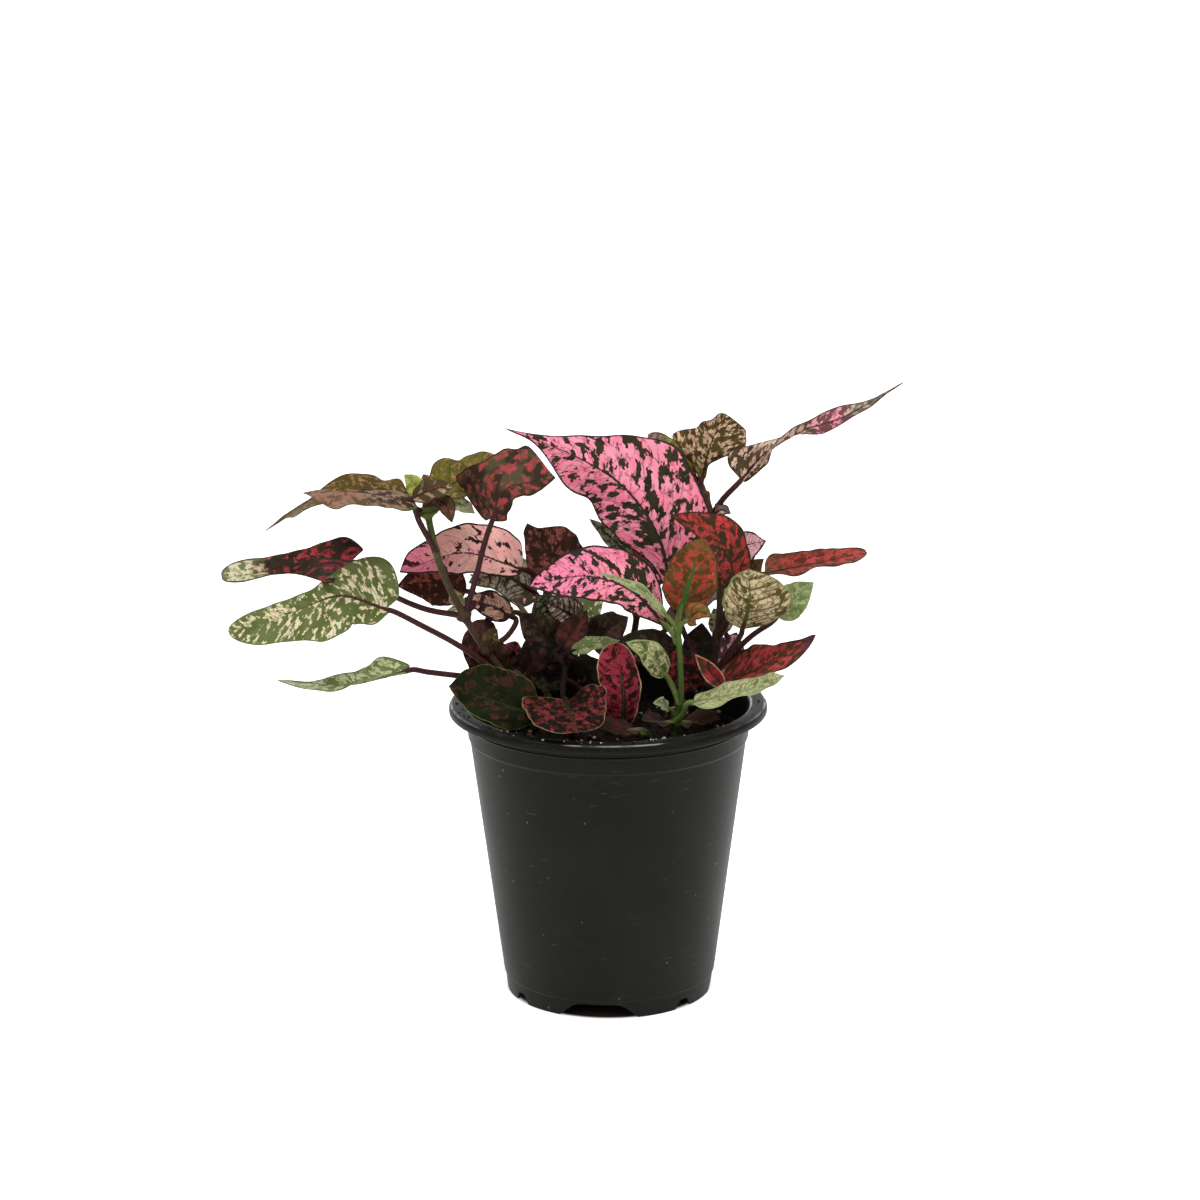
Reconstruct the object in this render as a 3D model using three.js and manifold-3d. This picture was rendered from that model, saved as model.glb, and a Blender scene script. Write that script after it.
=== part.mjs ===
// A potted polka dot plant: a thin-walled nursery pot, the peat in it, and bushy stems with spotted leaves.
// Millimetres, +Z up. The origin is the centre of the pot's foot, on the surface that the pot stands on.
// The front of the plant looks along -Y.
import * as THREE from "three";
import { mergeVertices } from "three/addons/utils/BufferGeometryUtils.js";
import Module from "manifold-3d";

const wasm = await Module();
wasm.setup();

// Driving dimensions of the pot
const POT_HEIGHT = 101.8;
const RIM_RADIUS = 54;
const LIP_DEPTH = 3.3;
const COLLAR_HEIGHT = 89.8;
const COLLAR_RADIUS = 47;
const RIDGE_HEIGHT = 6.4;
const RIDGE_RADIUS = 36.2;
const FOOT_RADIUS = 35.2;
const COLLAR_STEP = 0.6;
const NECK_RADIUS = 48.4;
const WALL = 1.1;
const FLOOR_HEIGHT = 5.2;
const WELL_RADIUS = 15;
const WELL_FLARE = 2;
const POT_SEGMENTS = 40;

// Drain openings through the foot skirt, evenly round it: wide arches at the listed places, small notches
// at the others. Bottom and top are half widths.
const DRAINS = 7;
const WIDE_DRAINS = [0, 2, 5];
const DRAIN_TURN = -6.3;
const ARCH = { bottom: 13.4, top: 8, height: 5 };
const NOTCH = { bottom: 3.7, top: 1.6, height: 3.2 };
const CUT_DEPTH = 12;
const DRAIN_HOLE_RADIUS = 3.2;
const DRAIN_HOLE_CIRCLE = 26.5;

// Driving dimensions of the peat and the plant
const GAP = 0.3;
const SOIL_LEVEL = 89.5;
const SOIL_MOUND = 2.2;
const SOIL_RINGS = [45, 38, 31, 24, 17, 10, 0];
const SOIL_SEGMENTS = 30;
const STEM_BOTTOM = 68;
const STEM_STRAIGHT_TO = 92.5;
const STEM_TAPER = 0.75;
const STEM_SIDES = 6;
const PETIOLE_RADIUS = 0.9;
const PETIOLE_FOOT_RADIUS = 1.04;
const PETIOLE_SIDES = 5;
const RING_SPACING = 9;
const APPROACH = 2.5;
const JOINED_DEPTH = 2;
const BLADE_THICKNESS = 0.7;
const BLADE_ROW_LENGTH = 5;
const BLADE_COLUMNS = 4;
const NARROW_BLADE = 10;
const WAVE_HEIGHT = 0.8;
const WAVES = 2.5;

const COLOURS = {
  pot: "#2b2d2a",
  soil: "#2a211b",
  purple: "#5c2f36",
  green: "#6f9a45",
  young: "#a9b24a",
  pink: "#f087ab",
  pale: "#d9a3aa",
  red: "#b8303f",
  crimson: "#a02a45",
  cream: "#cfc9a0",
  olive: "#6f6a35",
  maroon: "#5a2a2e",
  dark: "#33402c",
};

const vector = (point) => new THREE.Vector3(...point);
const radians = THREE.MathUtils.degToRad;

// The geometry with shared corners only, as a solid that can be joined and cut.
function solidOf(geometry) {
  const bare = new THREE.BufferGeometry().setAttribute("position", geometry.getAttribute("position"));
  bare.setIndex(geometry.index);
  const merged = mergeVertices(bare, 1e-3);
  const corners = merged.index.array;
  const kept = [];
  for (let i = 0; i < corners.length; i += 3) {
    const [a, b, c] = corners.subarray(i, i + 3);
    if (a !== b && b !== c && c !== a) kept.push(a, b, c);
  }
  return new wasm.Manifold(
    new wasm.Mesh({
      numProp: 3,
      vertProperties: merged.attributes.position.array,
      triVerts: new Uint32Array(kept),
    }),
  );
}

// The solid's skin as a three.js geometry.
function geometryOf(solid) {
  const skin = solid.getMesh();
  return new THREE.BufferGeometry()
    .setAttribute("position", new THREE.BufferAttribute(skin.vertProperties, 3))
    .setIndex(new THREE.BufferAttribute(skin.triVerts, 1));
}

function meshOf(name, geometry, colour, roughness = 0.55) {
  geometry.computeVertexNormals();
  const material = new THREE.MeshStandardMaterial({ color: COLOURS[colour], roughness, metalness: 0 });
  const mesh = new THREE.Mesh(geometry, material);
  mesh.name = name;
  return mesh;
}

// A profile of [radius, height] points turned round the Z axis.
function turned(profile, segments) {
  const points = profile.map(([radius, height]) => new THREE.Vector2(radius, height));
  return new THREE.LatheGeometry(points, segments).rotateX(Math.PI / 2);
}

// Pot: rolled rim, collar, tapered wall, foot skirt, and a floor with a well that stands on the ground
function makePot() {
  const lipBottom = POT_HEIGHT - LIP_DEPTH;
  const rimInside = RIM_RADIUS - WALL;
  const profile = [
    [0, 0],
    [WELL_RADIUS, 0],
    [WELL_RADIUS + WELL_FLARE, FLOOR_HEIGHT],
    [FOOT_RADIUS - WALL, FLOOR_HEIGHT],
    [FOOT_RADIUS - WALL, 0],
    [FOOT_RADIUS, 0],
    [RIDGE_RADIUS - 0.4, RIDGE_HEIGHT - 0.4],
    [RIDGE_RADIUS, RIDGE_HEIGHT],
    [COLLAR_RADIUS, COLLAR_HEIGHT - COLLAR_STEP],
    [COLLAR_RADIUS + COLLAR_STEP, COLLAR_HEIGHT],
    [NECK_RADIUS, lipBottom + 0.4],
    [NECK_RADIUS + 0.6, POT_HEIGHT - WALL - 0.5],
    [NECK_RADIUS + 1.3, POT_HEIGHT - WALL],
    [rimInside - 0.6, POT_HEIGHT - WALL],
    [rimInside, POT_HEIGHT - WALL - 0.7],
    [rimInside, lipBottom],
    [RIM_RADIUS, lipBottom],
    [RIM_RADIUS, POT_HEIGHT - 1.2],
    [RIM_RADIUS - 0.5, POT_HEIGHT - 0.3],
    [RIM_RADIUS - 1.6, POT_HEIGHT],
    [NECK_RADIUS + 1, POT_HEIGHT],
    [NECK_RADIUS - 0.4, POT_HEIGHT - 0.6],
    [NECK_RADIUS - WALL, lipBottom],
    [COLLAR_RADIUS + COLLAR_STEP - WALL, COLLAR_HEIGHT],
    [COLLAR_RADIUS - WALL, COLLAR_HEIGHT - COLLAR_STEP],
    [RIDGE_RADIUS - WALL, FLOOR_HEIGHT + WALL],
    [WELL_RADIUS + WELL_FLARE + WALL, FLOOR_HEIGHT + WALL],
    [WELL_RADIUS + WALL, WALL],
    [0, WALL],
  ];
  let pot = solidOf(turned(profile, POT_SEGMENTS));
  for (let i = 0; i < DRAINS; i++) {
    const turn = radians(DRAIN_TURN + (360 * i) / DRAINS);
    const arch = WIDE_DRAINS.includes(i) ? ARCH : NOTCH;
    pot = pot.subtract(solidOf(drainCutter(arch).rotateZ(turn)));
    pot = pot.subtract(solidOf(drainHole().rotateZ(turn)));
  }
  return meshOf("pot", geometryOf(pot), "pot", 0.42);
}

// A block that cuts one opening with slanted sides and soft corners through the foot skirt, at the front.
function drainCutter({ bottom, top, height }) {
  const soft = (bottom - top) / 4;
  const outline = new THREE.Shape([
    new THREE.Vector2(-bottom - 1, -1),
    new THREE.Vector2(-bottom, 0),
    new THREE.Vector2(-top - soft, height - soft),
    new THREE.Vector2(-top + soft, height),
    new THREE.Vector2(top - soft, height),
    new THREE.Vector2(top + soft, height - soft),
    new THREE.Vector2(bottom, 0),
    new THREE.Vector2(bottom + 1, -1),
  ]);
  const block = new THREE.ExtrudeGeometry(outline, { depth: CUT_DEPTH, bevelEnabled: false, steps: 1 });
  return block.rotateX(Math.PI / 2).translate(0, (2 / 3) * CUT_DEPTH - FOOT_RADIUS, 0);
}

function drainHole() {
  const drill = new THREE.CylinderGeometry(DRAIN_HOLE_RADIUS, DRAIN_HOLE_RADIUS, 6, 10);
  return drill.rotateX(Math.PI / 2).translate(0, -DRAIN_HOLE_CIRCLE, FLOOR_HEIGHT);
}

// Height of the peat's lumpy surface over a point of the plan.
function soilHeight(x, y) {
  const mound = SOIL_MOUND * (1 - Math.hypot(x, y) / COLLAR_RADIUS);
  const lumps = 0.7 * Math.sin(0.31 * x + 1.1) * Math.cos(0.27 * y) + 0.45 * Math.sin(0.62 * y - 0.48 * x);
  return SOIL_LEVEL + mound + lumps;
}

// Peat: it fills the pot, and every stem stands in a plain hole in it
function makeSoil(stems) {
  const clear = WALL + GAP;
  const inWell = WELL_RADIUS + WALL - 2 * GAP;
  const profile = [
    [0, clear],
    [inWell, clear],
    [inWell + WELL_FLARE, FLOOR_HEIGHT + clear],
    [RIDGE_RADIUS - clear, FLOOR_HEIGHT + clear],
    [COLLAR_RADIUS - clear - 0.2, SOIL_LEVEL - 2],
  ];
  SOIL_RINGS.forEach((radius) => profile.push([radius, SOIL_LEVEL]));
  const geometry = turned(profile, SOIL_SEGMENTS);
  const spot = geometry.getAttribute("position");
  for (let i = 0; i < spot.count; i++) {
    if (spot.getZ(i) > SOIL_LEVEL - 1) spot.setZ(i, soilHeight(spot.getX(i), spot.getY(i)));
  }
  let soil = solidOf(geometry);
  for (const { path, radius } of stems) {
    const depth = SOIL_LEVEL + 4 * SOIL_MOUND - STEM_BOTTOM;
    const hole = new THREE.CylinderGeometry(radius + GAP, radius + GAP, depth, 12).rotateX(Math.PI / 2);
    hole.translate(path[0][0], path[0][1], STEM_BOTTOM - GAP + depth / 2);
    soil = soil.subtract(solidOf(hole));
  }
  return meshOf("soil", geometryOf(soil), "soil", 0.95);
}

// A closed round stalk along a smooth line through the points, thinning from one radius to the other.
function stalk(points, startRadius, endRadius, sides) {
  const line = new THREE.CatmullRomCurve3(points.map(vector), false, "centripetal");
  const steps = Math.max(2, Math.round(line.getLength() / RING_SPACING));
  const frames = line.computeFrenetFrames(steps);
  const corners = [];
  for (let i = 0; i <= steps; i++) {
    const centre = line.getPointAt(i / steps);
    const radius = THREE.MathUtils.lerp(startRadius, endRadius, i / steps);
    for (let j = 0; j < sides; j++) {
      const turn = (2 * Math.PI * j) / sides;
      const corner = centre.clone();
      corner.addScaledVector(frames.normals[i], radius * Math.cos(turn));
      corner.addScaledVector(frames.binormals[i], radius * Math.sin(turn));
      corners.push(corner);
    }
  }
  const faces = [];
  for (let i = 0; i < steps; i++) {
    for (let j = 0; j < sides; j++) {
      const [a, b] = [i * sides + j, i * sides + ((j + 1) % sides)];
      faces.push(a, b, b + sides, a, b + sides, a + sides);
    }
  }
  const last = steps * sides;
  for (let j = 1; j < sides - 1; j++) {
    faces.push(0, j + 1, j, last, last + j, last + j + 1);
  }
  return new THREE.BufferGeometry().setFromPoints(corners).setIndex(faces);
}

// Half width of a blade at the share u of its length: widest at one place, pointed at the tip.
function halfWidth(leaf, u) {
  const { width, widest = 0.38, point = 1.05 } = leaf;
  const round = (point * widest) / (1 - widest);
  const swell = (share) => share ** round * (1 - share) ** point;
  const rest = THREE.MathUtils.lerp(0.9, 0.4, u);
  return rest + (width / 2 - rest) * (swell(u) / swell(widest));
}

// A point of the blade's middle surface: u runs from base to tip and v from -1 to 1 across.
function bladePoint(leaf, line, u, v) {
  const { face, fold = [12, 12], tipFold = fold, curl = 0, twist = 0 } = leaf;
  const { halves = [1, 1], lobe = 0 } = leaf;
  const along = line.getTangentAt(u);
  const upper = vector(face).normalize();
  upper.addScaledVector(along, -upper.dot(along)).normalize();
  upper.applyAxisAngle(along, radians(twist) * u);
  const side = along.clone().cross(upper);
  const half = v < 0 ? 0 : 1;
  const reach = Math.abs(v) * halves[half] * halfWidth(leaf, u);
  const slope = radians(THREE.MathUtils.lerp(fold[half], tipFold[half], u * u));
  const swing = Math.sin(2 * Math.PI * WAVES * u + (v < 0 ? 2 : 0));
  const ripple = WAVE_HEIGHT * v * v * Math.sin(Math.PI * u) * swing;
  const point = line.getPointAt(u);
  point.addScaledVector(side, Math.sign(v) * reach * Math.cos(slope));
  point.addScaledVector(upper, reach * Math.sin(slope) + curl * reach * Math.abs(v) + ripple);
  const heel = u ** 0.35;
  point.addScaledVector(along, -lobe * v * v * heel * (1 - heel));
  return point;
}

// A leaf blade: an arched and waved sheet, split into triangles alike on both faces.
function blade(leaf) {
  const line = bladeLine(leaf);
  const rows = THREE.MathUtils.clamp(Math.round(line.getLength() / BLADE_ROW_LENGTH), 4, 10);
  const columns = leaf.width < NARROW_BLADE ? 2 : BLADE_COLUMNS;
  const row = columns + 1;
  const upper = [];
  const lower = [];
  for (let i = 0; i <= rows; i++) {
    const share = i / rows;
    const u = (share + (1 - Math.cos(Math.PI * share)) / 2) / 2;
    for (let j = 0; j <= columns; j++) {
      const v = (2 * j) / columns - 1;
      const step = 0.01;
      const [u0, u1] = [Math.max(0, u - step), Math.min(1, u + step)];
      const [v0, v1] = [Math.max(-1, v - step), Math.min(1, v + step)];
      const alongSheet = bladePoint(leaf, line, u1, v).sub(bladePoint(leaf, line, u0, v));
      const acrossSheet = bladePoint(leaf, line, u, v1).sub(bladePoint(leaf, line, u, v0));
      const normal = acrossSheet.cross(alongSheet).normalize();
      const middle = bladePoint(leaf, line, u, v);
      upper.push(middle.clone().addScaledVector(normal, BLADE_THICKNESS / 2));
      lower.push(middle.clone().addScaledVector(normal, -BLADE_THICKNESS / 2));
    }
  }
  const under = upper.length;
  const faces = [];
  for (let i = 0; i < rows; i++) {
    for (let j = 0; j < columns; j++) {
      const a = i * row + j;
      const [b, c, d] = [a + 1, a + row + 1, a + row];
      faces.push(a, b, c, a, c, d);
      faces.push(under + a, under + c, under + b, under + a, under + d, under + c);
    }
  }
  const edge = [];
  for (let j = 0; j < columns; j++) edge.push(j);
  for (let i = 0; i < rows; i++) edge.push(i * row + columns);
  for (let j = columns; j > 0; j--) edge.push(rows * row + j);
  for (let i = rows; i > 0; i--) edge.push(i * row);
  edge.forEach((a, k) => {
    const b = edge[(k + 1) % edge.length];
    faces.push(a, under + a, under + b, a, under + b, b);
  });
  return new THREE.BufferGeometry().setFromPoints([...upper, ...lower]).setIndex(faces);
}

const bladeLine = (leaf) => new THREE.CatmullRomCurve3(leaf.rib.map(vector), false, "centripetal");

// The stalk between a leaf and its stem. It ends just short of a separate blade, or well inside a joined one.
function petiole(leaf) {
  const start = bladeLine(leaf);
  const base = start.getPointAt(0);
  const along = start.getTangentAt(0);
  const end = base.clone().addScaledVector(along, leaf.joined ? JOINED_DEPTH : -GAP);
  const approach = base.clone().addScaledVector(along, -APPROACH);
  const points = [...leaf.from, approach.toArray(), end.toArray()];
  const endRadius = leaf.joined ? BLADE_THICKNESS : PETIOLE_RADIUS;
  return stalk(points, PETIOLE_FOOT_RADIUS, endRadius, PETIOLE_SIDES);
}

// Leafy stems. A stem's path starts with the x and y of its foot, where it stands upright in the peat.
// Each leaf's stalk starts at the first point of from, inside the stem, and its rib runs from the blade's
// base to its tip. Width is the whole blade's, and face is where its upper side looks. Fold is how far the
// two halves are raised from flat, in degrees, and tipFold is the same near the tip. Halves scales the
// halves' widths, widest is the share of the length where the blade is widest, a larger point makes a
// longer tip, lobe is how far the base's corners reach back, and curl raises or lowers the margins. A
// joined leaf is one piece with its stem. Every other blade is a piece of its own.
const STEMS = [
  {
    name: "stem_left",
    colour: "purple",
    radius: 1.5,
    path: [
      [-22, -4], [-24, -5, 98], [-31, -7, 108], [-41, -9, 122], [-48, -10, 134], [-54, -11, 147],
      [-57, -12, 157], [-60, -12, 172],
    ],
    leaves: [
      {
        name: "leaf_left_tail", colour: "olive", width: 17, face: [-0.2, -0.25, 1],
        point: 1.6,
        from: [[-60, -12, 171]],
        rib: [[-63, -7, 175], [-82, 2, 175], [-100, 5, 170], [-115, 6, 160]],
      },
      {
        name: "leaf_left_rosy", colour: "pale", width: 17, face: [0, -0.15, 1],
        fold: [-14, 2], lobe: 24,
        from: [[-57, -12, 157], [-62, -17, 167]],
        rib: [[-67, -19, 174], [-83, -25, 177], [-99, -30, 177]],
      },
      {
        name: "leaf_left_young", colour: "young", width: 7, face: [0, -1, 0.3], joined: true,
        from: [[-60, -12, 170]],
        rib: [[-61, -11, 175], [-64, -12, 180], [-67, -12, 183]],
      },
      {
        name: "leaf_left_lobed", colour: "olive", width: 16, face: [0, -0.6, 0.9],
        lobe: 12,
        from: [[-60, -12, 171]],
        rib: [[-57, -7, 175], [-45, 1, 180], [-31, 6, 182]],
      },
      {
        name: "leaf_left_bronze", colour: "olive", width: 6, face: [0, -1, 0.3], joined: true,
        from: [[-60, -12, 170]],
        rib: [[-56, -15, 175], [-53, -19, 174], [-51, -22, 169]],
      },
      {
        name: "leaf_left_bud", colour: "cream", width: 6, face: [0, -0.8, 0.6], joined: true,
        from: [[-60, -12, 170]],
        rib: [[-54, -9, 173], [-49, -8, 172], [-44, -9, 169]],
      },
      {
        name: "leaf_left_rear", colour: "olive", width: 17, face: [0, -0.3, 1], joined: true,
        from: [[-60, -12, 170]],
        rib: [[-57, -5, 172], [-53, 7, 176], [-50, 20, 172]],
      },
      {
        name: "leaf_left_red", colour: "red", width: 34, face: [-0.4, -0.8, 0.6],
        fold: [5, -25], halves: [1, 0.55], widest: 0.42,
        from: [[-48, -10, 134], [-44, -12, 147], [-41, -14, 159]],
        rib: [[-38, -15, 168], [-34, -20, 180], [-17, -14, 182]],
      },
      {
        name: "leaf_left_scarlet", colour: "red", width: 20, face: [0, -0.4, 1],
        widest: 0.24, point: 0.8, lobe: 14,
        from: [[-48, -10, 134], [-62, -7, 136], [-76, -6, 143]],
        rib: [[-85, -7, 152], [-96, -10, 153], [-109, -14, 150], [-127, -20, 149]],
      },
      {
        name: "leaf_left_cream", colour: "cream", width: 24, face: [-0.1, -0.85, 0.6],
        halves: [0.85, 1.12], widest: 0.3, point: 0.6, lobe: 8,
        from: [[-33, -8, 111], [-50, -14, 125], [-62, -18, 134]],
        rib: [[-72, -22, 142], [-84, -29, 144], [-99, -34, 141], [-112, -37, 139], [-123, -38, 138]],
      },
      {
        name: "leaf_left_slender", colour: "cream", width: 18, face: [0, -0.15, 1],
        fold: [8, 22],
        from: [[-33, -8, 111], [-50, -16, 115], [-60, -22, 118]],
        rib: [[-67, -28, 120], [-87, -38, 118], [-108, -42, 121]],
      },
      {
        name: "leaf_left_maroon", colour: "maroon", width: 16, face: [0, -0.9, 0.4],
        from: [[-48, -10, 134], [-45, 0, 136]],
        rib: [[-48, 8, 138], [-60, 8, 141], [-71, 4, 141]],
      },
      {
        name: "leaf_left_salmon", colour: "pale", width: 12, face: [-0.3, -0.8, 0.6],
        from: [[-41, -9, 122], [-33, -3, 124]],
        rib: [[-30, 4, 129], [-35, 2, 134], [-41, 0, 137]],
      },
      {
        name: "leaf_left_dusky", colour: "maroon", width: 13, face: [-0.4, -0.8, 0.6],
        from: [[-41, -9, 122], [-41, 1, 129]],
        rib: [[-40, 3, 129], [-43, 1, 121], [-41, -1, 112]],
      },
    ],
  },
  {
    name: "stem_centre",
    colour: "purple",
    radius: 1.3,
    path: [[-4, 4], [-5, 5, 98], [-8, 8, 106], [-14, 12, 122], [-18, 14, 133]],
    leaves: [
      {
        name: "leaf_centre_pale", colour: "pale", width: 23, face: [0, -0.7, 0.75],
        from: [[-18, 14, 132], [-24, 16, 140]],
        rib: [[-29, 14, 144], [-49, 9, 151], [-70, 3, 146]],
      },
      {
        name: "leaf_centre_veined", colour: "cream", width: 17, face: [0, -0.8, 0.5],
        from: [[-14, 12, 121], [-21, 17, 129]],
        rib: [[-26, 18, 133], [-36, 15, 138], [-46, 9, 136]],
      },
      {
        name: "leaf_centre_spotted", colour: "maroon", width: 24, face: [0.2, -0.9, 0.3],
        from: [[-18, 14, 132]],
        rib: [[-17, 14, 138], [-20, 14, 149], [-27, 10, 161]],
      },
      {
        name: "leaf_centre_shade", colour: "dark", width: 20, face: [-0.2, -0.9, 0.4],
        from: [[-8, 8, 106], [-10, 4, 112]],
        rib: [[-14, 2, 117], [-22, 0, 125], [-30, 1, 132]],
      },
      {
        name: "leaf_centre_inner", colour: "maroon", width: 13, face: [0, -0.9, 0.4],
        from: [[-8, 8, 106], [-9, 5, 114]],
        rib: [[-6, 2, 121], [0, 1, 126], [7, 3, 130]],
      },
    ],
  },
  {
    name: "stem_green",
    colour: "green",
    radius: 1.2,
    path: [[22, -20], [22, -20, 98], [24, -21, 106], [24, -22, 120], [23, -22, 134]],
    leaves: [
      {
        name: "leaf_green_ovate", colour: "red", width: 18, face: [0.1, -1, 0.2],
        from: [[23, -22, 133]],
        rib: [[24, -20, 138], [27, -24, 149], [31, -22, 163]],
      },
      {
        name: "leaf_green_young", colour: "olive", width: 8, face: [0, -0.8, 0.6], joined: true,
        from: [[23, -22, 133]],
        rib: [[26, -25, 136], [30, -29, 140], [34, -32, 139]],
      },
      {
        name: "leaf_green_folded", colour: "cream", width: 11, face: [-0.3, -0.6, 0.7],
        fold: [25, 25],
        from: [[23, -22, 132]],
        rib: [[19, -25, 138], [10, -30, 148], [-3, -31, 154]],
      },
      {
        name: "leaf_green_pink", colour: "pink", width: 25, face: [-0.2, -0.8, 0.6],
        from: [[23, -22, 128]],
        rib: [[19, -15, 132], [7, -18, 145], [-8, -20, 151], [-26, -22, 147]],
      },
      {
        name: "leaf_green_low", colour: "cream", width: 13, face: [0, -0.8, 0.6],
        from: [[24, -21, 106]],
        rib: [[19, -20, 116], [13, -24, 125], [6, -26, 129]],
      },
      {
        name: "leaf_green_right", colour: "cream", width: 17, face: [-0.2, -0.4, 1],
        lobe: 8,
        from: [[22, -20, 99], [25, -25, 104]],
        rib: [[30, -28, 109], [45, -30, 113], [58, -32, 119]],
      },
    ],
  },
  {
    name: "stem_right",
    colour: "purple",
    radius: 1.4,
    path: [
      [28, 2], [29, 2, 98], [34, 1, 106], [37, 2, 122], [38, 4, 140], [36, 8, 155], [35, 9, 164],
      [33, 12, 171],
    ],
    leaves: [
      {
        name: "leaf_right_grey", colour: "olive", width: 14, face: [-0.2, -0.8, 0.6],
        from: [[33, 12, 170]],
        rib: [[30, 17, 175], [23, 20, 183], [15, 22, 189]],
      },
      {
        name: "leaf_right_curl", colour: "olive", width: 5, face: [0, -0.8, 0.6], joined: true,
        from: [[35, 9, 163]],
        rib: [[37, 7, 164], [40, 5, 166], [43, 4, 164]],
      },
      {
        name: "leaf_right_rear", colour: "red", width: 18, face: [0.2, 0.3, 1], joined: true,
        from: [[38, 4, 140], [39, 9, 141]],
        rib: [[40, 14, 142], [45, 27, 142], [45, 40, 135]],
      },
      {
        name: "leaf_right_olive", colour: "olive", width: 25, face: [0, -0.9, 0.4],
        from: [[33, 12, 170]],
        rib: [[32, 13, 175], [35, 14, 187], [40, 22, 196]],
      },
      {
        name: "leaf_right_twisted", colour: "maroon", width: 12, face: [0, -0.7, 0.7],
        twist: -120, widest: 0.25, point: 1.3,
        from: [[35, 9, 163], [39, 6, 170]],
        rib: [[45, 4, 177], [54, 4, 187], [66, 5, 194], [79, 6, 198], [99, 8, 209]],
      },
      {
        name: "leaf_hero_pink", colour: "pink", width: 38, face: [-0.3, -0.9, 0.3],
        fold: [-5, 5], tipFold: [-20, -65], halves: [0.82, 1.08], widest: 0.44, point: 1.4,
        from: [[34, 1, 106], [26, 3, 124]],
        rib: [[22, 3, 137], [17, 4, 158], [6, 10, 173], [-10, 18, 182], [-34, 22, 191]],
      },
      {
        name: "leaf_right_red", colour: "red", width: 17, face: [0.3, -0.7, 0.7],
        from: [[37, 2, 122], [42, -3, 133]],
        rib: [[43, -5, 141], [38, -8, 159], [21, -12, 169]],
      },
      {
        name: "leaf_right_rose", colour: "pink", width: 12, face: [0, -0.8, 0.6],
        from: [[38, 4, 140]],
        rib: [[41, 10, 147], [47, 13, 152], [54, 16, 153]],
      },
      {
        name: "leaf_right_brown", colour: "maroon", width: 8, face: [0, -0.8, 0.6],
        from: [[37, 2, 124], [41, 9, 132]],
        rib: [[45, 11, 138], [49, 11, 144], [53, 11, 148]],
      },
      {
        name: "leaf_right_long", colour: "red", width: 18, face: [0, -0.3, 1],
        from: [[37, 2, 124], [45, 2, 138]],
        rib: [[53, 2, 145], [70, 0, 149], [87, -2, 153]],
      },
      {
        name: "leaf_right_cream", colour: "cream", width: 25, face: [0.2, -0.9, 0.4],
        from: [[34, 1, 106], [38, -7, 116]],
        rib: [[45, -13, 130], [51, -19, 142], [50, -11, 150]],
      },
      {
        name: "leaf_right_pale", colour: "cream", width: 12, face: [0.1, -0.8, 0.5],
        from: [[34, 1, 108], [48, -2, 124]],
        rib: [[57, -5, 132], [62, -6, 138], [69, -6, 144]],
      },
      {
        name: "leaf_right_scarlet", colour: "red", width: 20, face: [0, -0.4, 1],
        from: [[29, 2, 99]],
        rib: [[38, -8, 108], [53, -14, 118], [69, -18, 128]],
      },
      {
        name: "leaf_right_lilac", colour: "pale", width: 14, face: [0, -0.9, 0.3],
        from: [[29, 2, 99], [34, 8, 103]],
        rib: [[37, 8, 108], [41, 10, 115], [44, 12, 122]],
      },
      {
        name: "leaf_right_small", colour: "cream", width: 9, face: [0, -0.9, 0.3],
        from: [[37, 2, 120]],
        rib: [[40, 7, 123], [38, 9, 127], [36, 10, 131]],
      },
      {
        name: "leaf_right_inner", colour: "dark", width: 13, face: [0, -0.8, 0.6],
        from: [[34, 1, 106], [29, 7, 108]],
        rib: [[24, 9, 112], [15, 8, 118], [3, 7, 121]],
      },
      {
        name: "leaf_right_low", colour: "maroon", width: 14, face: [0, -0.9, 0.4],
        from: [[29, 2, 99]],
        rib: [[29, -6, 107], [25, -8, 115], [19, -9, 122]],
      },
      {
        name: "leaf_right_folded", colour: "red", width: 10, face: [-0.3, -0.8, 0.5],
        fold: [25, 25],
        from: [[29, 2, 99], [34, -10, 102]],
        rib: [[37, -19, 110], [33, -20, 115], [28, -20, 121]],
      },
    ],
  },
  {
    name: "stem_front",
    colour: "green",
    radius: 1.1,
    path: [[14, -22], [13, -25, 97], [11, -28, 98]],
    leaves: [
      {
        name: "leaf_front_crimson", colour: "crimson", width: 16, face: [0.1, -1, 0.2],
        from: [[12, -26, 98]],
        rib: [[4, -22, 98], [4, -24, 111], [2, -20, 126]],
      },
    ],
  },
  {
    name: "stem_front_left",
    colour: "purple",
    radius: 1.3,
    path: [[-12, -14], [-13, -16, 98], [-15, -16, 108], [-14, -10, 118]],
    leaves: [
      {
        name: "leaf_front_heart", colour: "crimson", width: 28, face: [0, -0.3, 1],
        lobe: 16, fold: [16, 14], curl: -0.15, widest: 0.3,
        from: [[-13, -16, 98], [-14, -22, 103]],
        rib: [[-15, -30, 107], [-12, -41, 106], [-10, -53, 104]],
      },
      {
        name: "leaf_front_dark", colour: "dark", width: 21, face: [-0.1, -0.7, 0.8],
        from: [[-13, -16, 98]],
        rib: [[-24, -26, 104], [-38, -26, 109], [-53, -22, 113]],
      },
      {
        name: "leaf_front_pointed", colour: "red", width: 10, face: [0, -0.9, 0.4],
        from: [[-14, -10, 117]],
        rib: [[-16, -7, 122], [-11, -5, 128], [-7, -3, 134]],
      },
      {
        name: "leaf_front_sliver", colour: "cream", width: 7, face: [0, -0.8, 0.6],
        from: [[-14, -10, 116]],
        rib: [[-12, -15, 123], [-5, -17, 126], [4, -17, 127]],
      },
    ],
  },
  {
    name: "stem_back",
    colour: "purple",
    radius: 1.4,
    path: [[6, 26], [6, 27, 98], [8, 26, 112], [10, 24, 126], [8, 22, 138]],
    leaves: [
      {
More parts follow.
